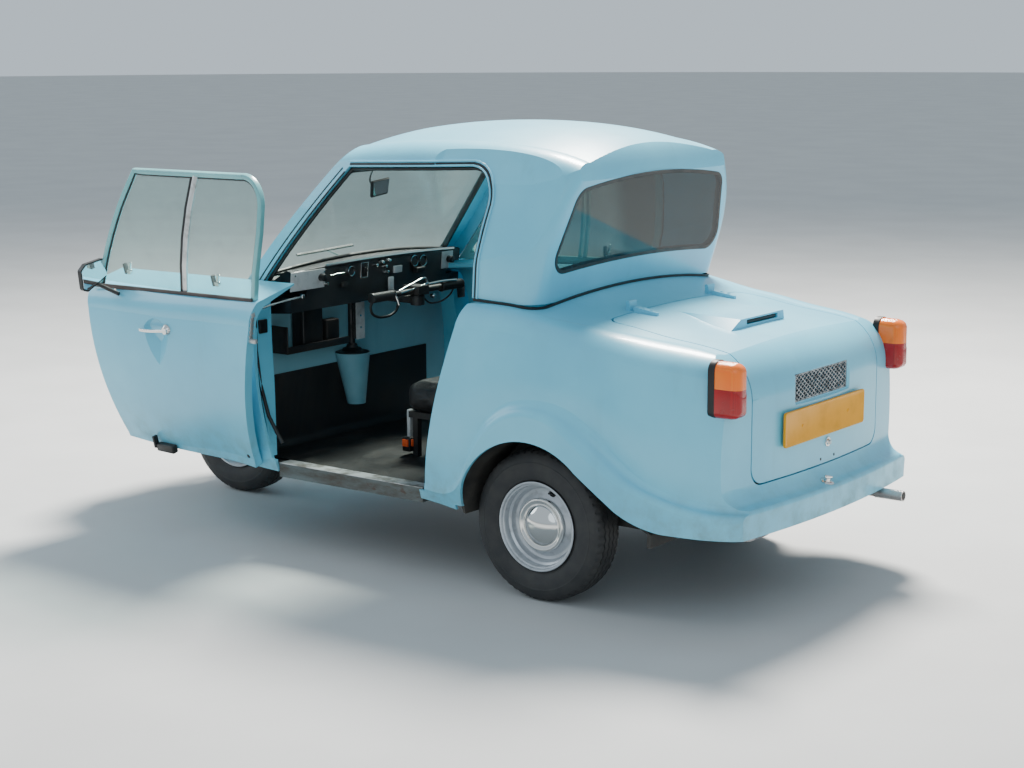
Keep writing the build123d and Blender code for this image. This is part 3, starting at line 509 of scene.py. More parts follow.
enamel = body_enamel("body_enamel", tone(118, 203, 228), tone(104, 190, 218))
cabin_enamel = body_enamel("cabin_enamel", tone(150, 206, 218), tone(136, 194, 208), 0.3)
dress(enamel, "rear_body", "nose_body", "cab_shell", "engine_cover", "hinge_knuckles")
dress(enamel, "left_door_skin", "right_door_skin")
dress(cabin_enamel, "front_bulkhead")


# Floor mats: ribbed black rubber over the floor, turned up against the bulkhead under the cone.
# The rear bulkhead is faced with black felted trim.
def ribbing(wire, scale):
    """Soft straight ribs from 0 to 1, running along the car."""
    sockets = ("Vector", wire.node("TexCoord", out=3)), ("Scale", scale)
    return wire.node("TexWave", *sockets, bands_direction="Y", wave_profile="SIN")


def ribbed_rubber():
    made, wire = finish("ribbed_rubber", IOR=1.5)
    ribs = ribbing(wire, 50.0)
    grit = rise(grain(wire, 12.0, 6.0, 0.65), 0.45, 0.8)
    return feed(
        made,
        Base_Color=blend(grit * 0.45, tone(24, 25, 26), tone(88, 84, 76)),
        Roughness=0.5 + grit * 0.3,
        Normal=bump(ribs, 0.0015, 0.8),
    )


def felted_trim():
    made, wire = finish("felted_trim", Roughness=0.9, Sheen_Weight=0.3)
    weave = grain(wire, 260.0, 4.0, 0.7)
    dust = rise(grain(wire, 6.0, 5.0), 0.4, 0.8)
    colour = blend(dust * 0.4, tone(30, 32, 34), tone(76, 78, 78))
    return feed(made, Base_Color=colour, Normal=bump(weave, 0.001, 0.7))


def sweep(form, path, section, up=(0, 0, 1), closed=False):
    """Carry a closed section of (out, up) points along a path. Out is to the right of the way it runs."""
    path = [Vector(point) for point in path]
    rings = []
    for k, point in enumerate(path):
        back = path[k - 1] if k or closed else point
        on = path[(k + 1) % len(path)] if k + 1 < len(path) or closed else point
        along = (on - back).normalized()
        lift = up[k] if isinstance(up, list) else Vector(up)
        out = along.cross(lift).normalized()
        lift = out.cross(along)
        rings.append([form.verts.new(point + out * a + lift * b) for a, b in section])
    return join(form, rings, closed)


def rounded(half_a, half_b, corner, steps=4):
    """Corner points of a rounded rectangle about its middle."""
    points = []
    for k in range(4 * (steps + 1)):
        quarter, step = divmod(k, steps + 1)
        lean = math.pi / 2 * (quarter + step / steps)
        side_a = half_a - corner if quarter in (0, 3) else corner - half_a
        side_b = half_b - corner if quarter in (0, 1) else corner - half_b
        points.append((side_a + corner * math.cos(lean), side_b + corner * math.sin(lean)))
    return points


def bow(start, through, end, steps=12):
    """Points of the arc through three points of a plane, the first one left out."""
    ax, ay, bx, by, cx, cy = *start, *through, *end
    turn = 2 * (ax * (by - cy) + bx * (cy - ay) + cx * (ay - by))
    ux = ((ax**2 + ay**2) * (by - cy) + (bx**2 + by**2) * (cy - ay) + (cx**2 + cy**2) * (ay - by)) / turn
    uy = ((ax**2 + ay**2) * (cx - bx) + (bx**2 + by**2) * (ax - cx) + (cx**2 + cy**2) * (bx - ax)) / turn
    angles = [math.atan2(y - uy, x - ux) for x, y in (start, through, end)]
    arc = (angles[2] - angles[0]) % (2 * math.pi)
    if (angles[1] - angles[0]) % (2 * math.pi) > arc:
        arc -= 2 * math.pi
    radius = math.hypot(ax - ux, ay - uy)
    spread = [angles[0] + arc * k / steps for k in range(1, steps + 1)]
    return [(ux + radius * math.cos(a), uy + radius * math.sin(a)) for a in spread]


MAT_THICK = 0.006
MAT_HALF = 0.485
MAT_Z = 0.2935
BULKHEAD_X = 1.330
mat_line = [(0.500, MAT_Z), (1.290, MAT_Z)]
mat_line += bow((1.290, MAT_Z), (1.316, 0.3045), (BULKHEAD_X - 0.004, 0.330), 6)
mat_line += [(BULKHEAD_X - 0.004, 0.568)]
form = bmesh.new()
sheet = [(-MAT_HALF, -MAT_THICK / 2), (MAT_HALF, -MAT_THICK / 2)]
sheet += [(MAT_HALF, MAT_THICK / 2), (-MAT_HALF, MAT_THICK / 2)]
sweep(form, [(x, 0, z) for x, z in mat_line], sheet, [Vector((-1, 0, 1))] * len(mat_line))
fit("floor_mat", form, ribbed_rubber())
dress(felted_trim(), "rear_bulkhead")


# Rubber: the screen channels, the waist bead, door seals and boots, matt black with a grey
# bloom. The channels are pushed over the edges of the glass and of the opening.
def seal_rubber():
    made, wire = finish("seal_rubber", IOR=1.5)
    bloom = rise(grain(wire, 30.0, 5.0, 0.6), 0.4, 0.8)
    return feed(
        made,
        Base_Color=blend(bloom * 0.3, tone(14, 15, 16), tone(58, 60, 60)),
        Roughness=0.42 + bloom * 0.25,
        Normal=bump(grain(wire, 400.0), 0.0002, 0.6),
    )


rubber = seal_rubber()
dress(rubber, "screen_seals", "waist_bead")


# Steering cone: a tapered glass fibre housing on the bulkhead in cabin blue, with the black
# steering column standing in it and a rubber boot round the column's foot.
CONE_TOP = 0.606


def cone_enamel():
    made, wire = finish("cone_enamel", IOR=1.5)
    column = rise(spot(wire, 2), CONE_TOP - 0.0005, CONE_TOP + 0.0005)
    cloud = rise(grain(wire, 8.0, 5.0), 0.35, 0.75)
    paint = blend(cloud, tone(112, 168, 182), tone(126, 180, 192))
    return feed(
        made,
        Base_Color=blend(column, paint, tone(24, 24, 26)),
        Roughness=0.34 + cloud * 0.1,
        Normal=bump(grain(wire, 300.0), 0.0002, 0.5),
    )


dress(cone_enamel(), "steering_cone")
BOOT = (
    (0.000, 0.064), (0.004, 0.062), (0.008, 0.040), (0.016, 0.034),
    (0.020, 0.022), (0.030, 0.019), (0.034, 0.0135),
)
form = spin(bmesh.new(), BOOT, (1.283, 0, CONE_TOP - 0.001), (0, 0, 1), 40)
fit("column_boot", form, rubber)


# Glass: laminated sheets held in rubber channels, with a little dust and dried rain on them.
# The rear window is the darker one.
def window_glass():
    made, wire = finish("window_glass", IOR=1.45)
    shader = made.node_tree.nodes["Principled BSDF"]
    film = rise(grain(wire, 9.0, 6.0, 0.65), 0.42, 0.85)
    clear = wire.node("BsdfTransparent", ("Color", (0.86, 0.93, 0.91, 1)))
    edge = wire.node("LayerWeight", ("Blend", 0.2), out=1)
    rear = 1 - rise(spot(wire, 0), AXLE_X + 0.4, AXLE_X + 0.5)
    share = 0.05 + edge * 0.45 + film * 0.06 + rear * 0.4
    colour = blend(rear, blend(film, tone(205, 224, 222), tone(168, 176, 172)), tone(22, 32, 38))
    feed(made, Base_Color=colour, Roughness=0.03 + film * 0.2)
    mixed = wire.node("MixShader", (0, share), (1, clear), (2, Wire(made.node_tree, shader.outputs[0])))
    made.node_tree.links.new(mixed.socket, made.node_tree.nodes["Material Output"].inputs[0])
    return made


glass = window_glass()
dress(glass, "screen_glass", "left_door_glass", "right_door_glass")


# Door openings: a painted rain gutter runs over each opening and down the rear post, beside a
# dark line of sealer, and a soft black rubber tube is pushed on all round the edge. On the left
# the tube has come away from the front post and hangs into the doorway.
def fill_in(line, gap=0.02):
    """The same line with points put in, so that none are further apart than the gap."""
    points = [tuple(line[0])]
    for start, end in zip(line, line[1:]):
        count = math.ceil(math.dist(start, end) / gap)
        points += [tuple(Vector(start).lerp(Vector(end), k / count)) for k in range(1, count + 1)]
    return points


WINDOW = fill_in([(0.282, 0.938), (0.236, 1.235)])
WINDOW += bow((0.236, 1.235), (0.262, 1.331), (0.350, 1.362), 10)
WINDOW += fill_in([(0.350, 1.362), (0.850, 1.340)])[1:]
SCREEN_POST = fill_in([(0.850, 1.340), (1.200, 0.909)])
HANGING_TUBE = (
    (1.158, 0.918), (1.188, 0.880), (1.198, 0.809), (1.198, 0.699),
    (1.181, 0.582), (1.146, 0.475), (1.098, 0.405), (1.082, 0.385),
)
skins = {}
for node in ("cab_shell", "rear_body", "engine_cover", "right_door_skin"):
    mesh = cad[node].data
    faces = [list(face.vertices) for face in mesh.polygons]
    skins[node] = BVHTree.FromPolygons([v.co for v in mesh.vertices], faces)


def touch(start, toward, *nodes):
    """Where a straight look from a place first meets one of the pieces, with the surface's way out."""
    best = None
    for node in nodes:
        hit, out, _, far = skins[node].ray_cast(HOME @ Vector(start), Vector(toward))
        if hit and (best is None or far < best[0]):
            best = (far, HOME.inverted() @ hit, out)
    return best and best[1:]


def widen(line, reach):
    """The line of (x, z) points moved out by a distance, away from the opening."""
    moved = []
    for k, (x, z) in enumerate(line):
        back, on = line[max(k - 1, 0)], line[min(k + 1, len(line) - 1)]
        along = Vector((on[0] - back[0], on[1] - back[1])).normalized()
        moved.append((x - along.y * reach, z + along.x * reach))
    return moved


def on_side(line, side, proud, *nodes):
    """A line of (x, z) points laid on the body's side, standing proud of it, and the ways out."""
    places, ways = [], []
    for x, z in line:
        hit = touch((x, side * 1.1, z), (0, -side, 0), *nodes)
        if hit and abs(hit[0].y) > 0.3:
            places.append(hit[0] + hit[1] * proud)
            ways.append(hit[1])
    return places, ways


for side, name in zip(SIDES, ("left", "right")):
    form = bmesh.new()
    for reach, half in ((0.0065, 0.0028), (0.0205, 0.0034)):
        places, ways = on_side(widen(WINDOW, reach), side, 0.0006, "cab_shell")
        sweep(form, places, rounded(half, 0.0042, 0.0024), ways)
    fit(name + "_gutter", form, enamel)
    form = bmesh.new()
    places, ways = on_side(widen(WINDOW, 0.0135), side, 0.0, "cab_shell")
    sweep(form, places, rounded(0.0042, 0.0014, 0.0012), ways)
    for reach in (0.006, 0.024):
        places, ways = on_side(widen(SCREEN_POST[1:-1], reach), side, 0.0, "cab_shell")
        sweep(form, places, rounded(0.0026, 0.0018, 0.0014), ways)
    fit(name + "_gutter_sealer", form, rubber)
    round_edge = WINDOW + SCREEN_POST[1:-2]
    line = []
    for (x, z), (wide_x, wide_z) in zip(widen(round_edge, -0.003), widen(round_edge, 0.012)):
        hit = touch((wide_x, side * 1.1, wide_z), (0, -side, 0), "cab_shell")
        if hit and abs(hit[0].y) > 0.3:
            line.append(Vector((x, hit[0].y - side * 0.014, z)))
    if side > 0:
        line += [Vector((x, 0.598, z)) for x, z in HANGING_TUBE]
    form = sweep(bmesh.new(), line, rounded(0.0065, 0.0065, 0.0062), (0, side, 0.001))
    fit(name + "_opening_seal", form, rubber)


# Front door posts: a boxed return of the nose moulding faces back into each doorway, with a
# black rubber buffer for the shut door.
def slab(form, middle, size, corner=0.002, turn=None):
    """A block with rounded edges about its middle; turn is its rotation."""
    place = Matrix.Translation(middle) @ (turn or Matrix()) @ Matrix.Diagonal((*size, 1))
    made = bmesh.ops.create_cube(form, size=1, matrix=place)["verts"]
    edges = list({edge for v in made for edge in v.link_edges})
    bmesh.ops.bevel(
        form, geom=edges, offset=corner, segments=3, affect="EDGES", profile=0.5, clamp_overlap=True
    )
    return form


form = bmesh.new()
pads = bmesh.new()
POST_TOP = 0.905
POST_OUTSIDE = 0.604
POST = (
    (1.200, POST_TOP), (1.196, 0.830), (1.188, 0.740), (1.176, 0.660),
    (1.162, 0.590), (1.146, 0.500), (1.122, 0.380), (1.112, 0.335),
)
for side in SIDES:
    rings = []
    for x, z in POST:
        inside = 0.503 + 0.078 * ((POST_TOP - z) / 0.57) ** 1.6
        profile = (
            (x + 0.014, POST_OUTSIDE), (x + 0.014, inside), (x + 0.070, inside - 0.004),
            (x + 0.070, inside), (x + 0.018, inside + 0.004), (x + 0.018, POST_OUTSIDE),
        )
        rings.append([form.verts.new((a, side * b, z)) for a, b in profile])
    join(form, rings)
    slab(pads, (1.203, side * 0.557, 0.779), (0.012, 0.040, 0.048), 0.003)
fit("door_posts", form, enamel)
fit("post_buffers", pads, rubber)


# Left door's window: a slim painted steel frame bent from one bar with a mitred front corner. Its
# two panes meet in a pair of aluminium channels, and rubber holds the glass in the frame.
def frame_enamel():
    made, wire = finish("frame_enamel", IOR=1.5, Coat_Weight=0.3)
    cloud = rise(grain(wire, 5.0, 4.0), 0.3, 0.7)
    rub = rise(grain(wire, 60.0, 5.0, 0.7), 0.62, 0.72)
    paint = blend(rub * 0.5, blend(cloud, tone(108, 172, 176), tone(124, 190, 192)), tone(70, 84, 86))
    surface = bump(grain(wire, 240.0), 0.0002, 0.5)
    return feed(made, Base_Color=paint, Roughness=0.26 + rub * 0.3, Normal=surface)


def bare_aluminium():
    made, wire = finish("bare_aluminium")
    grime = rise(grain(wire, 18.0, 6.0, 0.65), 0.48, 0.78)
    scratch = grain(wire, 200.0, 3.0, 0.6, (0.15, 1, 1))
    return feed(
        made,
        Base_Color=blend(grime * 0.6, tone(206, 208, 208), tone(92, 82, 70)),
        Metallic=0.85 - grime * 0.6,
        Roughness=0.32 + scratch * 0.15 + grime * 0.3,
        Normal=bump(scratch, 0.0002, 0.5),
    )


painted_steel = frame_enamel()
aluminium = bare_aluminium()
HINGE = Vector((0.28, 0.60, 0.60))
swing = Matrix.Translation(HINGE + Vector((0.74, 0.10, -0.03)))
for turn, axis in ((-3.0, "Z"), (-0.7, "Y"), (-15.2, "X")):
    swing = swing @ Matrix.Rotation(math.radians(turn), 4, axis)
OPEN = HOME @ swing @ Matrix.Translation(-HINGE)
MIRRORED = HOME @ Matrix.Scale(-1, 4, (0, 1, 0))
DOORS = ((OPEN, "left"), (MIRRORED, "right"))


def cab_y(z):
    """How far out the side of the cab stands at a height."""
    return 0.571 + 0.0431 * (z - 0.9) - 0.506 * (z - 0.9) ** 2


FRAME_LINE = [(0.300, 0.938), (0.273, 1.030), (0.249, 1.104), (0.231, 1.175), (0.2235, 1.243)]
FRAME_LINE += bow((0.2235, 1.243), (0.248, 1.324), (0.335, 1.3555), 10)
FRAME_LINE += fill_in([(0.335, 1.3555), (0.882, 1.3435)], 0.06)[1:]
FRAME_LINE += fill_in([(0.882, 1.3435), (0.960, 1.2200), (1.068, 1.030), (1.128, 0.925)], 0.06)[1:]


def window_line(inset, deep):
    """The window frame's line moved into the opening, at a depth under the cab's side."""
    return [(x, cab_y(z) - deep, z) for x, z in widen(FRAME_LINE, -inset)]


form = sweep(bmesh.new(), window_line(0.0095, 0.010), rounded(0.0088, 0.0110, 0.004), (0, 1, 0.02))
piece = fit("left_window_frame", form, painted_steel, place=OPEN)
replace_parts(piece, "left_door_frame")
form = sweep(bmesh.new(), window_line(0.0205, 0.008), rounded(0.0035, 0.0035, 0.003), (0, 1, 0.02))
fit("left_window_rubber", form, rubber, place=OPEN)


def sill_z(x):
    """Height of the door skin's top edge."""
    return 0.9095 + (1.185 - x) * 0.0316


PANE_ROWS = 20
PANE_COLUMNS = 16
PANE_FOOT = 0.932


def edge_x(line, z):
    """Where a line of (x, z) points passes a height."""
    for (x0, z0), (x1, z1) in zip(line, line[1:]):
        if min(z0, z1) <= z <= max(z0, z1):
            return x0 + (x1 - x0) * (z - z0) / (z1 - z0)
    return line[-1][0]


inner = widen(FRAME_LINE, -0.014)
peak = max(range(len(inner)), key=lambda k: inner[k][1])
form = bmesh.new()
sheets = []
for deep in (0.009, 0.014):
    rows = []
    for j in range(PANE_ROWS + 1):
        z = PANE_FOOT + (inner[peak][1] - 0.003 - PANE_FOOT) * j / PANE_ROWS
        rear = edge_x(inner[: peak + 1], z)
        front = edge_x(inner[peak:], z)
        spread = [rear + (front - rear) * k / PANE_COLUMNS for k in range(PANE_COLUMNS + 1)]
        rows.append([form.verts.new((x, cab_y(z) - deep, z)) for x in spread])
    sheets.append(rows)
for rows in sheets:
    for low, high in zip(rows, rows[1:]):
        for k in range(PANE_COLUMNS):
            form.faces.new((low[k], low[k + 1], high[k + 1], high[k]))
borders = [(rows[0], rows[-1], [row[0] for row in rows], [row[-1] for row in rows]) for rows in sheets]
for near, far in zip(*borders):
    for k in range(len(near) - 1):
        form.faces.new((near[k], near[k + 1], far[k + 1], far[k]))
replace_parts(fit("left_window_pane", form, glass, place=OPEN), "left_door_glass")
CHANNEL = (
    (-0.011, -0.002), (0.011, -0.002), (0.011, 0.003),
    (0.008, 0.005), (-0.008, 0.005), (-0.011, 0.003),
)
line = [(0.651 - 0.2526 * (z - 0.958), cab_y(z) - 0.006, z) for z in (0.925, 1.03, 1.13, 1.23, 1.335)]
form = sweep(bmesh.new(), line, CHANNEL, (0, 1, 0.02))
fit("left_window_channel", form, aluminium, place=OPEN)
line = [(x + 0.0195, y - 0.001, z) for x, y, z in line]
form = sweep(bmesh.new(), line, rounded(0.0065, 0.003, 0.002), (0, 1, 0.02))
fit("left_window_inner_channel", form, rubber, place=OPEN)
dress(painted_steel, "right_door_frame")


# Door furniture: a rubber weather strip along the waist, a chrome lever handle on its boss in the
# hollow, two window catches inside, the latch on the rear edge, a guide bracket and a plug below.
def on_door(x, z):
    """Place on the outside of the left door when it is shut, and the way out there."""
    place, out = touch((x, -1.1, z), (0, 1, 0), "right_door_skin")
    return Vector((place.x, -place.y, place.z)), Vector((out.x, -out.y, out.z))


def weathered_rubber():
    made, wire = finish("weathered_rubber", IOR=1.45)
    bleach = rise(grain(wire, 24.0, 6.0, 0.65, (0.3, 1, 1)), 0.35, 0.75)
    return feed(
        made,
        Base_Color=blend(bleach, tone(62, 54, 52), tone(98, 86, 82)),
        Roughness=0.6 + bleach * 0.2,
        Normal=bump(grain(wire, 300.0, 4.0), 0.0003, 0.6),
    )


brown_rubber = weathered_rubber()
CATCHES = (0.962, 0.497)
HANDLE = (
    (-0.014, 0, 0.002), (0.02, 0.004, 0), (0.06, 0.006, -0.004),
    (0.10, 0.004, -0.008), (0.132, 0.001, -0.009),
)
for place, name in DOORS:
    line = [(x, sill_z(x) + 0.004) for x in [1.183 - 0.0365 * k for k in range(25)]]
    line = [(x, cab_y(z) + 0.0035, z) for x, z in line]
    form = sweep(bmesh.new(), line, rounded(0.0075, 0.0045, 0.003), (0, 1, 0.02))
    fit(name + "_waist_strip", form, brown_rubber, place=place)
    form = bmesh.new()
    for x in (1.032, 0.472):
        slab(form, (x, cab_y(sill_z(x)) + 0.006, sill_z(x) - 0.004), (0.010, 0.003, 0.012), 0.001)
    boss, out = on_door(0.728, 0.808)
    spin(form, ((0, 0.021), (0.004, 0.0205), (0.010, 0.016), (0.016, 0.012), (0.017, 0)), boss, (0, 1, 0), 32)
    root = Vector((boss.x, boss.y + 0.014, boss.z))
    sweep(form, [root + Vector(step) for step in HANDLE], rounded(0.0042, 0.0055, 0.003), (0, 0, 1))
    fit(name + "_door_handle", form, chrome, place=place)
    form = bmesh.new()
    for x in CATCHES:
        slab(form, (x, cab_y(0.96) - 0.022, 0.972), (0.020, 0.014, 0.016), 0.003)
        lean = Matrix.Rotation(-0.35, 4, "Y")
        slab(form, (x - 0.006, cab_y(0.96) - 0.024, 0.992), (0.012, 0.010, 0.034), 0.003, lean)
    fit(name + "_window_catches", form, chrome, place=place)
    form = bmesh.new()
    for x in CATCHES:
        slab(form, (x + 0.016, cab_y(0.96) - 0.022, 0.984), (0.010, 0.016, 0.040), 0.003)
    slab(form, (0.880, 0.640, 0.330), (0.092, 0.026, 0.030), 0.006)
    slab(form, (0.930, 0.645, 0.350), (0.012, 0.020, 0.046), 0.003)
    plug, out = on_door(0.451, 0.361)
    spin(form, ((0, 0.0075), (0.002, 0.007), (0.003, 0)), plug, out, 20)
    fit(name + "_door_rubbers", form, satin_black, place=place)
    form = bmesh.new()
    for z in (0.900, 0.885, 0.870, 0.855, 0.840, 0.825):
        lead = on_door(0.345, z)[0]
        slab(form, (0.2835 + (0.93 - z) * 0.25 - 0.001, lead.y - 0.014, z), (0.003, 0.015, 0.0155), 0.0005)
    slab(form, (0.300, on_door(0.345, 0.812)[0].y - 0.014, 0.812), (0.036, 0.012, 0.014), 0.002)
    fit(name + "_door_latch", form, aluminium, place=place)


# Door mirror: a black plastic shell on a short black stem, with a silvered glass set into its
# face and a thin rim round the glass. A chromed stay rod holds the open door to the dashboard.
def mirror_silver():
    made, wire = finish("mirror_silver", Metallic=1.0)
    spots = rise(grain(wire, 90.0, 4.0, 0.7), 0.66, 0.74)
    colour = blend(spots * 0.4, tone(226, 232, 236), tone(120, 120, 118))
    return feed(made, Base_Color=colour, Roughness=0.02 + spots * 0.3)


def drawn_in(outline, x, wide, tall):
    """An upright outline of (y, z) points at one x, shrunk towards its middle."""
    middle_y = sum(y for y, z in outline) / len(outline)
    middle_z = sum(z for y, z in outline) / len(outline)
    return [(x, middle_y + (y - middle_y) * wide, middle_z + (z - middle_z) * tall) for y, z in outline]


def sheet_of(form, points, thick):
    """A flat sheet on the points, with its thickness forward of them."""
    face = form.faces.new([form.verts.new(point) for point in points])
    grown = bmesh.ops.extrude_face_region(form, geom=[face])["geom"]
    moved = [part for part in grown if isinstance(part, bmesh.types.BMVert)]
    bmesh.ops.translate(form, vec=(thick, 0, 0), verts=moved)


silver = mirror_silver()
dress(satin_black, "door_mirror")
MIRROR = ((0.672, 1.010), (0.645, 1.026), (0.558, 1.019), (0.558, 0.954), (0.662, 0.926), (0.682, 0.940))
form = bmesh.new()
sheet_of(form, drawn_in(MIRROR, 1.0745, 0.9, 0.88), 0.003)
bmesh.ops.bevel(form, geom=form.edges[:], offset=0.001, segments=2, affect="EDGES", clamp_overlap=True)
fit("door_mirror_glass", form, silver, place=OPEN)
start = HOME.inverted() @ OPEN @ Vector((0.312, 0.585, 0.903))
end = Vector((1.139, 0.420, 0.874))
line = [start.lerp(end, k / 6) + Vector((0, 0, 0.004 * math.sin(math.pi * k / 6))) for k in range(7)]
form = sweep(bmesh.new(), line, rounded(0.0035, 0.0035, 0.0033), (0, 0, 1))
slab(form, line[0], (0.016, 0.016, 0.012), 0.003)
slab(form, line[-1], (0.014, 0.014, 0.016), 0.003)
fit("door_stay", form, chrome)


# Tail lamps: tall moulded plastic lenses, amber over red, each ribbed on the inside and pushed
# on to a black rubber gasket that is screwed to the corner of the tail.
LAMP_Y = 0.529
LAMP_HALF = 0.0355


def lens_outline(low, high, half, low_corner, high_corner, inset):
    """Corner points (across, up) of a lens seen from behind, drawn in by the inset."""
    points = []
    for quarter in range(4):
        corner = max((high_corner if quarter < 2 else low_corner) - inset, 0.001)
        mid_a = (half - inset - corner) * (1 if quarter in (0, 3) else -1)
        mid_b = high - inset - corner if quarter < 2 else low + inset + corner
        for step in range(8):
            lean = math.pi / 2 * (quarter + step / 7)
            points.append((mid_a + corner * math.cos(lean), mid_b + corner * math.sin(lean)))
    return points


def lens(form, side, low, high, low_corner, high_corner, steps, half=LAMP_HALF):
    """A lens or gasket standing back from the tail: steps of (x, inset)."""
    rings = []
    for x, inset in steps:
        outline = lens_outline(low, high, half, low_corner, high_corner, inset)
        rings.append([form.verts.new((x, side * LAMP_Y + a, b)) for a, b in outline])
    join(form, rings)


def moulded_lens(name, upper, lower, split, rib_scale=110.0):
    made, wire = finish(name, IOR=1.5, Coat_Weight=0.2, Coat_Roughness=0.05)
    above = rise(spot(wire, 2), split - 0.0004, split + 0.0004)
    grime = rise(grain(wire, 34.0, 5.0, 0.65), 0.5, 0.8)
    ribs = ribbing(wire, rib_scale)
    colour = blend(above, lower, upper)
    # The ribs also paint stripes into the colour: painted highlights on the amber and painted shade on the
    # red.
    colour = blend(ribs * 0.3, colour, blend(above, tone(96, 6, 10), tone(252, 150, 50)))
    colour = blend(grime * 0.25, colour, tone(96, 60, 44))
    return feed(made, Base_Color=colour, Roughness=0.14 + grime * 0.3, Normal=bump(ribs, 0.0008, 0.35))


LAMP_SPLIT = 0.757
tail_lens = moulded_lens("tail_lens", tone(250, 112, 18), tone(168, 12, 18), LAMP_SPLIT + 0.0005)
shell = ((-0.634, 0.0), (-0.688, 0.001), (-0.702, 0.004), (-0.7115, 0.010), (-0.7172, 0.018), (-0.719, 0.026))
amber_shell = [(x + 0.001, inset + 0.0012) for x, inset in shell]
form = bmesh.new()
gaskets = bmesh.new()
for side in SIDES:
    lens(form, side, 0.6675, 0.8385, 0.0220, 0.0300, amber_shell)
    lens(form, side, 0.6675, LAMP_SPLIT, 0.0220, 0.0030, shell)
    lens(gaskets, side, 0.6660, 0.8400, 0.0235, 0.0315, ((-0.615, 0), (-0.635, 0), (-0.637, 0.0015)), 0.0370)
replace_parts(fit("tail_lamp_lenses", form, tail_lens), "tail_lamps")
fit("tail_lamp_gaskets", gaskets, rubber)


# Engine cover's fittings: a blank yellow plate held by two screws, an expanded metal grille, a
# chromed lock, two plugged holes, screws in the straps and a T latch below.
def plate_paint():
    made, wire = finish("plate_paint", IOR=1.4, Coat_Weight=0.1, Coat_Roughness=0.2)
    dirt = rise(grain(wire, 12.0, 6.0, 0.6), 0.42, 0.8)
    chips = rise(grain(wire, 90.0, 4.0, 0.7), 0.7, 0.76)
    colour = blend(dirt * 0.35, tone(230, 158, 4), tone(172, 118, 22))
    colour = blend(chips * 0.5, colour, tone(120, 104, 70))
    waves = bump(grain(wire, 40.0, 3.0), 0.0006, 0.4)
    return feed(made, Base_Color=colour, Roughness=0.45 + dirt * 0.2, Normal=waves)


def dull_mesh():
    made, wire = finish("dull_mesh")
    grime = rise(grain(wire, 60.0, 5.0, 0.65), 0.4, 0.7)
    colour = blend(grime, tone(150, 156, 160), tone(62, 64, 66))
    return feed(made, Base_Color=colour, Metallic=0.8 - grime * 0.5, Roughness=0.4 + grime * 0.2)


dress(dull_mesh(), "cover_grille")
# A black block fills the scoop's slot: painted shade for the dark inside of the opening.
form = bmesh.new()
slab(form, (-0.460, -0.004, 0.884), (0.012, 0.1945, 0.0146), 0.006)
fit("scoop_slot_shade", form, rubber, "engine_cover")
PLATE_HALF_W = 0.260
PLATE_HALF_H = 0.055
PLATE_Z = 0.588
form = bmesh.new()
steps = ((-0.702, 0.0), (-0.7085, 0.0), (-0.7100, 0.0012), (-0.7100, 0.0040), (-0.7094, 0.0052))
rings = []
for x, inset in steps:
    narrow, low = 1 - inset / PLATE_HALF_W, 1 - inset / PLATE_HALF_H
    outline = rounded(PLATE_HALF_W, PLATE_HALF_H, 0.010, 6)
    rings.append([form.verts.new((x, a * narrow, PLATE_Z + b * low)) for a, b in outline])
join(form, rings)
plate = fit("number_plate_blank", form, plate_paint(), "engine_cover")
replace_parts(plate, "number_plate")
form = bmesh.new()
screw = ((0, 0.0062), (0.0012, 0.0060), (0.0028, 0.0042), (0.0033, 0))
for y in (-0.150, 0.150):
    spin(form, screw, (-0.7092, y, PLATE_Z), (-1, 0, 0), 20)
fit("plate_screws", form, plate.data.materials[0], "engine_cover")
form = bmesh.new()
lock, out = touch((-1.2, -0.030, 0.505), (1, 0, 0), "engine_cover")
barrel = (
    (-0.002, 0.0165), (0.003, 0.0165), (0.0045, 0.0145),
    (0.0045, 0.0105), (0.0075, 0.0095), (0.0085, 0),
)
spin(form, barrel, lock, out, 40)
slab(form, lock + out * 0.0105, (0.006, 0.003, 0.015), 0.001)
fit("cover_lock", form, chrome, "engine_cover")
form = bmesh.new()
for y in (0.012, -0.078):
    hole, out = touch((-1.2, y, 0.455), (1, 0, 0), "engine_cover")
    spin(form, ((-0.001, 0.0048), (0.0008, 0.0046), (0.0010, 0.0034), (0.0002, 0)), hole, out, 20)
fit("cover_plugs", form, rubber, "engine_cover")
form = bmesh.new()
for side in SIDES:
    for x in (-0.176, -0.204):
        head, out = touch((x, side * 0.240, 1.2), (0, 0, -1), "engine_cover")
        spin(form, ((-0.001, 0.0058), (0.001, 0.0056), (0.0030, 0.0036), (0.0034, 0)), head, out, 20)
fit("strap_screws", form, enamel, "engine_cover")
form = bmesh.new()
latch, out = touch((-1.2, 0.035, 0.392), (1, 0, 0), "rear_body")
rose = ((-0.002, 0.024), (0.002, 0.024), (0.004, 0.020), (0.004, 0.010), (0.014, 0.008), (0.016, 0.0))
spin(form, rose, latch, out, 36)
slab(form, latch + out * 0.016, (0.010, 0.046, 0.011), 0.004, Matrix.Rotation(0.25, 4, "X"))
slab(form, latch + out * 0.010 + Vector((0, 0, -0.012)), (0.008, 0.012, 0.026), 0.003)
fit("tail_latch", form, chrome)


# Head lamps: chromed rims pressed over domed glasses that are fluted on the inside. The
# indicators under them are amber plastic cones pushed into chromed bases.
def fluted_glass():
    made, wire = finish("fluted_glass", IOR=1.5, Coat_Weight=0.4)
    ribs = ribbing(wire, 55.0)
    dust = rise(grain(wire, 30.0, 5.0), 0.5, 0.8)
    # The flutes paint the glass lighter and darker in stripes: painted highlights and painted shade of the
    # light through them.
    colour = blend(ribs, tone(168, 176, 180), tone(222, 228, 230))
    return feed(
        made,
        Base_Color=blend(dust * 0.3, colour, tone(140, 134, 122)),
        Roughness=0.08 + dust * 0.3,
        Metallic=0.55 - dust * 0.4,
        Normal=bump(ribs, 0.0012, 0.5),
    )


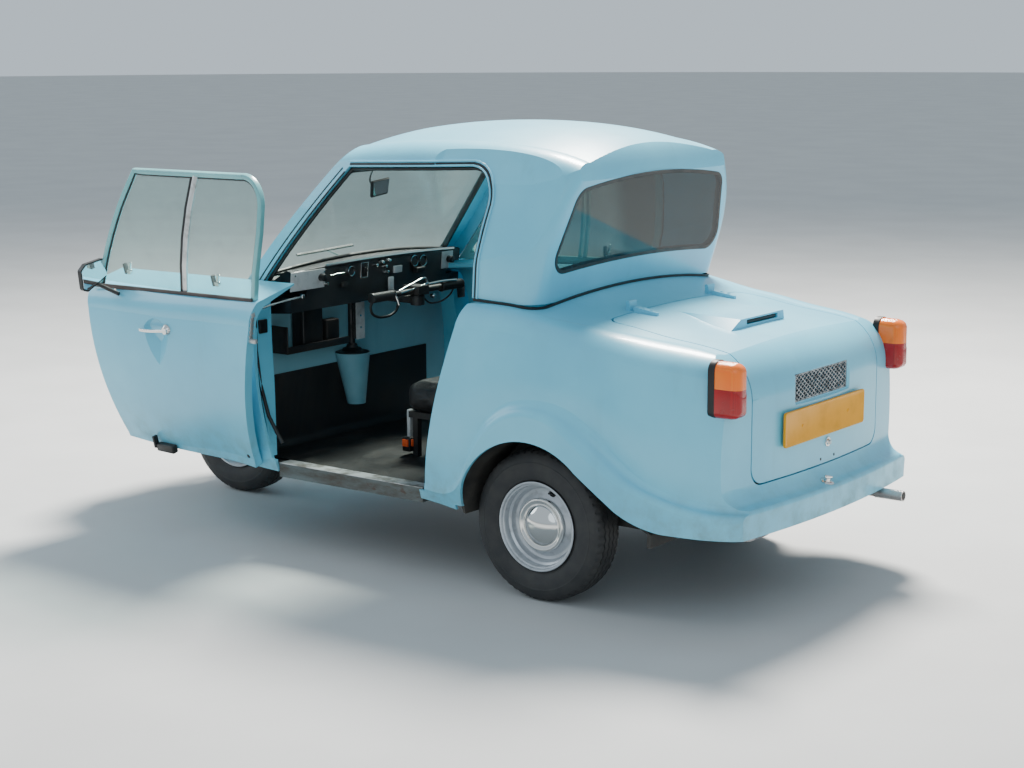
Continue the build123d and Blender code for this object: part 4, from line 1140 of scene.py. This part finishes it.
# Lamp outlines from the nose outward: along, radius
LAMP_RIM = (
    (0, 0.0), (0, 0.086), (0.064, 0.087), (0.070, 0.0888),
    (0.079, 0.0888), (0.0855, 0.085), (0.087, 0.081), (0.084, 0.0775),
)
LAMP_GLASS = (
    (0.080, 0.079), (0.0865, 0.0755), (0.0905, 0.062),
    (0.0935, 0.042), (0.0953, 0.02), (0.0958, 0),
)
SIGNAL_BASE = ((0, 0), (0, 0.030), (0.034, 0.030), (0.038, 0.029), (0.040, 0.026))
SIGNAL = ((0.038, 0.0262), (0.045, 0.0262), (0.052, 0.024), (0.058, 0.019), (0.061, 0.011), (0.0618, 0))
form = bmesh.new()
bowls = bmesh.new()
signals = bmesh.new()
bases = bmesh.new()
for side in SIDES:
    lamp = Vector((2.035, side * 0.318, 0.592))
    facing = Vector((1, side * 0.12, 0)).normalized()
    spin(bowls, LAMP_RIM, lamp, facing, 72)
    spin(form, LAMP_GLASS, lamp, facing, 72)
    spin(form, ((-0.002, 0.0), (0.0, 0.0792), (0.080, 0.0792)), lamp, facing, 72)
    signal = Vector((2.020, side * 0.405, 0.470))
    facing = Vector((1, side * 0.5, 0)).normalized()
    spin(bases, SIGNAL_BASE, signal, facing, 48)
    spin(signals, SIGNAL, signal, facing, 48)
amber = moulded_lens("amber_lens", tone(240, 128, 28), tone(240, 128, 28), 0.0, 70.0)
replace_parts(fit("head_lamp_glasses", form, fluted_glass()), "head_lamps")
fit("head_lamp_rims", bowls, chrome)
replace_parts(fit("indicator_lenses", signals, amber), "front_indicators")
fit("indicator_bases", bases, chrome)


# Wiper: one sprung arm of satin metal on its spindle under the windscreen, with a black rubber
# blade lying along the foot of the glass.
SCREEN = Vector((1.104, 0, 1.130))
SCREEN_OUT = Vector((0.767, 0, 0.642))
SCREEN_UP = Vector((-0.642, 0, 0.767))


def on_screen(y, up, proud):
    """A place on the windscreen, standing proud of its outside."""
    return SCREEN + SCREEN_UP * up + SCREEN_OUT * proud + Vector((0, y, 0))


arms = bmesh.new()
blades = bmesh.new()
spindle = ((-0.02, 0.0085), (0.006, 0.0085), (0.012, 0.006), (0.014, 0))
spin(arms, spindle, on_screen(-0.02, -0.262, 0.006), SCREEN_OUT, 24)
line = []
for k in range(9):
    arch = 0.008 * math.sin(math.pi * k / 8)
    line.append(on_screen(-0.02 + 0.24 * k / 8, -0.262 + 0.105 * k / 8, 0.012 + arch))
sweep(arms, line, rounded(0.0035, 0.002, 0.0015), SCREEN_OUT)
line = [on_screen(0.07 + 0.29 * k / 8, -0.153 - 0.012 * k / 8, 0.009) for k in range(9)]
sweep(blades, line, rounded(0.003, 0.0055, 0.002), SCREEN_OUT)
fit("wiper_arm", arms, aluminium)
fit("wiper_blade", blades, rubber)


# Sills: painted steel boxes under the doors, scuffed and splashed with dirt, each with a plain
# aluminium tread strip along its top.
def scuffed_sill():
    made, wire = finish("scuffed_sill", IOR=1.45)
    dirt = rise(grain(wire, 10.0, 6.0, 0.65, (0.4, 1, 1.6)), 0.34, 0.66)
    rust = rise(grain(wire, 30.0, 6.0, 0.7, (0.4, 1, 1)), 0.55, 0.68)
    top = rise(spot(wire, 2), 0.3110, 0.3125)
    paint = blend(dirt, tone(98, 108, 108), tone(70, 64, 57))
    paint = blend(rust * 0.8, paint, tone(74, 50, 38))
    bright = blend(rise(grain(wire, 24.0, 5.0), 0.4, 0.7), tone(196, 200, 202), tone(128, 126, 120))
    return feed(
        made,
        Base_Color=blend(top, paint, bright),
        Metallic=top * 0.6,
        Roughness=0.7 - top * 0.3,
        Normal=bump(dirt, 0.001, 0.6),
    )


dress(scuffed_sill(), "sills")


# Dashboard: a steel shelf in black crackle paint with a bright strip along its top edge. Pale
# panels stand at both ends, with a row of knobs, switches and round dials between them.
def pebbles(wire, scale):
    """Distance from the borders of small rounded cells."""
    sockets = ("Vector", wire.node("TexCoord", out=3)), ("Scale", scale)
    return wire.node("TexVoronoi", *sockets, feature="DISTANCE_TO_EDGE")


def crackle_black():
    made, wire = finish("crackle_black", IOR=1.5, Coat_Weight=0.25)
    cracks = bump(rise(pebbles(wire, 420.0), 0.0, 0.25), 0.0006, 0.7)
    dust = rise(grain(wire, 8.0, 6.0), 0.42, 0.8)
    colour = blend(dust * 0.45, tone(20, 20, 22), tone(88, 86, 82))
    return feed(made, Base_Color=colour, Roughness=0.3 + dust * 0.3, Normal=cracks)


def pale_panel():
    made, wire = finish("pale_panel", IOR=1.5)
    marks = rise(grain(wire, 20.0, 6.0, 0.65), 0.45, 0.75)
    colour = blend(marks * 0.6, tone(196, 200, 200), tone(126, 130, 132))
    surface = bump(grain(wire, 200.0), 0.0003, 0.5)
    return feed(made, Base_Color=colour, Roughness=0.4 + marks * 0.2, Normal=surface)


crackle = crackle_black()
pale = pale_panel()
dress(crackle, "dashboard")


def dash(y, z, proud=0.0):
    """A place on the dashboard's face."""
    return Vector((1.149 - (z - 0.818) * 0.084 - proud, y, z))


DASH_TILT = Matrix.Rotation(math.radians(-4.8), 4, "Y")


def pad_edge(y):
    """Height of the arched pad's front edge on top of the dashboard."""
    return 0.964 + 0.012 * (1 - (y / 0.46) ** 2)


def screen_foot(y):
    """How far down the windscreen its lower rubber runs."""
    return -0.183 - 0.036 * (y / 0.45) ** 2


form = bmesh.new()
rings = []
for k in range(25):
    y = 0.462 - 0.924 * k / 24
    back = on_screen(y, screen_foot(y), -0.014)
    lip = pad_edge(y)
    profile = (
        (1.1390, lip - 0.014), (1.1350, lip - 0.002), (1.1380, lip),
        (back.x, back.z), (back.x, back.z - 0.006), (1.150, lip - 0.014),
    )
    rings.append([form.verts.new((x, y, z)) for x, z in profile])
join(form, rings)
fit("dash_top_pad", form, crackle)
line = [on_screen(y, screen_foot(y), -0.014) for y in [0.52 - 1.04 * k / 30 for k in range(31)]]
form = sweep(bmesh.new(), line, rounded(0.0110, 0.0070, 0.005), SCREEN_OUT)
fit("screen_foot_rubber", form, rubber)
# The tray under the dash, two sides of it and the cases that stand on it: middle, size, corner
TRAY = (
    ((1.285, 0.222, 0.653), (0.080, 0.330, 0.006), 0.002),
    ((1.247, 0.222, 0.664), (0.005, 0.330, 0.026), 0.002),
    ((1.285, 0.386, 0.700), (0.080, 0.005, 0.100), 0.002),
    ((1.290, 0.235, 0.738), (0.060, 0.105, 0.160), 0.006),
    ((1.300, 0.105, 0.700), (0.040, 0.070, 0.085), 0.006),
)
form = bmesh.new()
for middle, size, corner in TRAY:
    slab(form, middle, size, corner)
fit("under_dash_tray", form, satin_black)
form = bmesh.new()
slab(form, dash(0.392, 0.929, 0.002), (0.004, 0.176, 0.068), 0.0015, DASH_TILT)
slab(form, dash(-0.392, 0.925, 0.002), (0.004, 0.066, 0.066), 0.0015, DASH_TILT)
slab(form, dash(-0.096, 0.919, 0.005), (0.010, 0.044, 0.026), 0.002, DASH_TILT)
slab(form, dash(-0.053, 0.868, 0.012), (0.010, 0.026, 0.054), 0.003)
slab(form, (1.2505, -0.012, 0.726), (0.003, 0.048, 0.138), 0.001)
fit("dash_panels", form, pale)
KNOB = ((0, 0.0085), (0.006, 0.0085), (0.010, 0.0065), (0.016, 0.0070), (0.020, 0.0060), (0.021, 0))
KNOBS = ((0.304, 0.908), (0.038, 0.947), (-0.014, 0.938), (-0.033, 0.958), (-0.026, 0.916), (0.004, 0.955))
DIALS = (
    # y, z, radius of the ring, radius of the face
    (0.165, 0.938, 0.019, 0.0155),
    (-0.192, 0.940, 0.022, 0.018),
    (-0.243, 0.936, 0.022, 0.018),
)
GAUGE_Y = 0.0895
GAUGE_Z = 0.934
form = bmesh.new()
line = [(1.1345, y, pad_edge(y) + 0.001) for y in [0.300 - 0.0365 * k for k in range(21)]]
sweep(form, line, rounded(0.0022, 0.0045, 0.0015), (0.3, 0, 1))
for y in (0.309, 0.459):
    spin(form, ((0, 0.0035), (0.0012, 0.003), (0.0016, 0)), dash(y, 0.950, 0.004), (-1, 0, 0), 16)
for z in (0.700, 0.745):
    spin(form, ((0, 0.0045), (0.002, 0.004), (0.0026, 0)), (1.249, -0.012, z), (-1, 0, 0), 16)
for y, z in KNOBS:
    spin(form, KNOB, dash(y, z, 0.001), (-1, 0, 0), 24)
grip = [dash(0.286, 0.934, 0.012), dash(0.262, 0.937, 0.020), dash(0.226, 0.939, 0.022)]
sweep(form, grip, rounded(0.004, 0.003, 0.002))
for y, z, rim, face in DIALS:
    ring = ((0, rim), (0.007, rim), (0.0085, rim - 0.002), (0.0070, rim - 0.004), (0.003, rim - 0.0045))
    spin(form, ring, dash(y, z), (-1, 0, 0), 40)
for sign in (1, -1):
    bar = dash(GAUGE_Y, GAUGE_Z + sign * 0.027, 0.002)
    slab(form, bar, (0.004, 0.040, 0.003), 0.0008, DASH_TILT)
    bar = dash(GAUGE_Y + sign * 0.0185, GAUGE_Z, 0.002)
    slab(form, bar, (0.004, 0.003, 0.054), 0.0008, DASH_TILT)
fit("dash_bright_parts", form, chrome)
form = bmesh.new()
slab(form, dash(GAUGE_Y, GAUGE_Z, 0.002), (0.003, 0.035, 0.050), 0.001, DASH_TILT)
slab(form, dash(GAUGE_Y, GAUGE_Z, 0.006), (0.010, 0.012, 0.022), 0.002, DASH_TILT)
button = ((0, 0.0135), (0.012, 0.0120), (0.015, 0.0135), (0.022, 0.0120), (0.024, 0.008), (0.0245, 0))
for y, z in ((0.326, 0.932), (-0.398, 0.927)):
    spin(form, button, dash(y, z, 0.004), (-1, 0, 0), 28)
for y, z, rim, face in DIALS:
    spin(form, ((0, 0), (0.003, face), (0.0035, 0)), dash(y, z), (-1, 0, 0), 32)
slab(form, dash(-0.215, 0.905, 0.012), (0.024, 0.050, 0.022), 0.004, DASH_TILT)
slab(form, dash(0.200, 0.893, 0.006), (0.012, 0.030, 0.018), 0.003, DASH_TILT)
fit("dash_black_parts", form, satin_black)


# Tiller: a steel cross bar on a small gear box that turns on an upright spindle, with ribbed
# rubber grips, two black loops under the bar and chromed levers over its middle.
TILLER = Vector((0.962, 0, 0.862))
dress(satin_black, "tiller")
form = bmesh.new()
for side in SIDES:
    ribs = [(0.134, 0.0158), (0.135, 0.0185), (0.139, 0.0190), (0.140, 0.0168)]
    for k in range(18):
        foot = 0.142 + 0.006 * k
        ribs += [(foot, 0.0166), (foot + 0.0012, 0.0176), (foot + 0.0042, 0.0176), (foot + 0.0054, 0.0166)]
    ribs += [(0.251, 0.0186), (0.2545, 0.0180), (0.2560, 0.0150), (0.2562, 0)]
    spin(form, ribs, TILLER, (0, side, 0), 40)
fit("tiller_grips", form, rubber, "tiller")


def tube(form, points, radius, steps=6):
    """Round bar on a smooth curve through the points."""
    points = [Vector(point) for point in points]
    ends = [points[0] * 2 - points[1], *points, points[-1] * 2 - points[-2]]
    line = []
    for before, start, end, after in zip(ends, ends[1:], ends[2:], ends[3:]):
        for k in range(steps):
            t = k / steps
            line.append(
                (start * 2 + (end - before) * t + (before * 2 - start * 5 + end * 4 - after) * t**2
                 + (start * 3 - before - end * 3 + after) * t**3) / 2
            )
    line.append(points[-1])
    return sweep(form, line, rounded(radius, radius, radius * 0.98), (0.31, 0.17, 0.93))


form = bmesh.new()
hoop = (
    (0.250, 0.850), (0.259, 0.830), (0.250, 0.806), (0.220, 0.792),
    (0.186, 0.788), (0.150, 0.791), (0.118, 0.806), (0.104, 0.838),
)
tube(form, [(0.962, y, z) for y, z in hoop], 0.0048)
loop = ((-0.200, 0.848), (-0.180, 0.828), (-0.140, 0.812), (-0.100, 0.808), (-0.060, 0.812), (-0.020, 0.838))
tube(form, [(0.955, y, z) for y, z in loop], 0.0032)
fit("tiller_hand_loop", form, rubber, "tiller")
form = bmesh.new()
lever = (
    (0.120, 0.876), (0.050, 0.893), (-0.020, 0.908), (-0.034, 0.898),
    (-0.034, 0.886), (0.040, 0.874), (0.112, 0.866),
)
tube(form, [(0.946, y, z) for y, z in lever], 0.0030)
tube(form, [(0.950, 0.140, 0.868), (0.944, 0.134, 0.846), (0.940, 0.129, 0.826)], 0.0040)
stud = ((0, 0.006), (0.010, 0.0085), (0.016, 0.0085), (0.020, 0.005), (0.0205, 0))
spin(form, stud, (0.950, -0.062, 0.838), (-1, 0, 0), 28)
tube(form, [(0.950, -0.045, 0.882), (0.950, -0.130, 0.884), (0.952, -0.215, 0.880)], 0.0045)
fit("tiller_levers", form, chrome, "tiller")


# Inside mirror: a small silvered glass in a black plastic case, which hangs on a bent wire
# stem from the windscreen's head.
CASE = ((0.243, 1.275), (0.147, 1.283), (0.158, 1.226), (0.247, 1.217))
form = bmesh.new()
sheet_of(form, [(0.958, y, z) for y, z in CASE], 0.012)
bmesh.ops.bevel(form, geom=form.edges[:], offset=0.0035, segments=3, affect="EDGES", clamp_overlap=True)
stem = ((0.970, 0.200, 1.262), (0.974, 0.232, 1.266), (0.966, 0.246, 1.288), (0.956, 0.240, 1.318))
tube(form, stem, 0.0028)
fit("inside_mirror", form, satin_black)
form = bmesh.new()
sheet_of(form, drawn_in(CASE, 0.9572, 0.86, 0.8), 0.0015)
fit("inside_mirror_glass", form, silver)


# Seat: a foam cushion and backrest sewn into black vinyl and crowned by their filling, set
# on the painted steel frame. The belt's buckle stands on a stalk beside the seat.
def black_vinyl():
    made, wire = finish("black_vinyl", IOR=1.5, Coat_Weight=0.1)
    worn = rise(grain(wire, 6.0, 6.0, 0.6), 0.4, 0.75)
    colour = blend(worn * 0.5, tone(30, 31, 33), tone(66, 64, 62))
    crease = bump(grain(wire, 16.0, 4.0, 0.6, (1, 0.35, 1)), 0.004, 0.5)
    leather = bump(rise(pebbles(wire, 520.0), 0.0, 0.3), 0.0004, 0.5, crease)
    return feed(made, Base_Color=colour, Roughness=0.36 + worn * 0.2, Normal=leather)


vinyl = black_vinyl()
CUSHION_CAP = 0.014


def cushion(name, node, middle, size, turn):
    """A filled cushion: a soft cornered block swollen by Cloth, its movement capped."""
    form = bmesh.new()
    slab(form, (0, 0, 0), size, 0.026)
    piece = fit(name, form, vinyl, place=HOME @ Matrix.Translation(middle) @ turn)
    skin = piece.modifiers.new("skin", "REMESH")
    skin.mode = "VOXEL"
    skin.voxel_size = 0.006
    graph = bpy.context.evaluated_depsgraph_get()
    piece.data = bpy.data.meshes.new_from_object(piece.evaluated_get(graph))
    piece.modifiers.clear()
    flat = [v.co.copy() for v in piece.data.vertices]
    filling = piece.modifiers.new("filling", "CLOTH")
    filling.settings.use_pressure = True
    filling.settings.uniform_pressure_force = 4
    filling.settings.effector_weights.gravity = 0
    for step in range(1, 21):
        bpy.context.scene.frame_set(step)
    graph = bpy.context.evaluated_depsgraph_get()
    full = [v.co.copy() for v in piece.evaluated_get(graph).data.vertices]
    piece.modifiers.clear()
    for vertex, start, end in zip(piece.data.vertices, flat, full):
        move = end - start
        vertex.co = start + move * min(1, CUSHION_CAP / max(move.length, 1e-6))
    bpy.context.scene.frame_set(1)
    piece.data.shade_smooth()
    smooth = piece.modifiers.new("smooth", "SUBSURF")
    smooth.levels = smooth.render_levels = 1
    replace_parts(piece, node)


cushion("seat_cushion", "seat_base", (0.668, 0, 0.513), (0.396, 0.406, 0.090), Matrix())
lean = Matrix.Rotation(-math.atan(0.16), 4, "Y")
cushion("seat_backrest", "seat_back", (0.430, 0, 0.765), (0.066, 0.396, 0.358), lean)
dress(satin_black, "seat_frame")
form = bmesh.new()
slab(form, (0.862, 0.170, 0.412), (0.014, 0.022, 0.100), 0.003)
fit("belt_stalk", form, pale)
form = bmesh.new()
slab(form, (0.860, 0.170, 0.338), (0.036, 0.056, 0.052), 0.005)
fit("belt_buckle", form, satin_black)


def orange_button():
    made, wire = finish("orange_button", IOR=1.5)
    scuff = rise(grain(wire, 120.0, 4.0), 0.5, 0.75)
    colour = blend(scuff * 0.4, tone(236, 92, 40), tone(150, 70, 44))
    return feed(made, Base_Color=colour, Roughness=0.35 + scuff * 0.2)


form = bmesh.new()
slab(form, (0.860, 0.2000, 0.344), (0.026, 0.008, 0.026), 0.002)
slab(form, (0.841, 0.170, 0.344), (0.006, 0.040, 0.026), 0.002)
fit("belt_button", form, orange_button())


# Floor: a plain pale studio floor out to a soft horizon. It is slightly cloudy, so that the
# light on it isn't dead even.
FLOOR_R = 60


def studio_floor():
    made, wire = finish("studio_floor", IOR=1.45)
    cloud = grain(wire, 1.5, 4.0)
    colour = blend(rise(cloud, 0.3, 0.7), tone(186, 188, 188), tone(193, 195, 195))
    dimples = bump(grain(wire, 60.0), 0.0005, 0.3)
    return feed(made, Base_Color=colour, Roughness=0.7 + cloud * 0.1, Normal=dimples)


form = bmesh.new()
bmesh.ops.create_circle(form, cap_ends=True, radius=FLOOR_R, segments=96)
mesh = bpy.data.meshes.new("floor")
form.to_mesh(mesh)
form.free()
mesh.materials.append(studio_floor())
floor = bpy.data.objects.new("floor", mesh)
bpy.context.scene.collection.objects.link(floor)
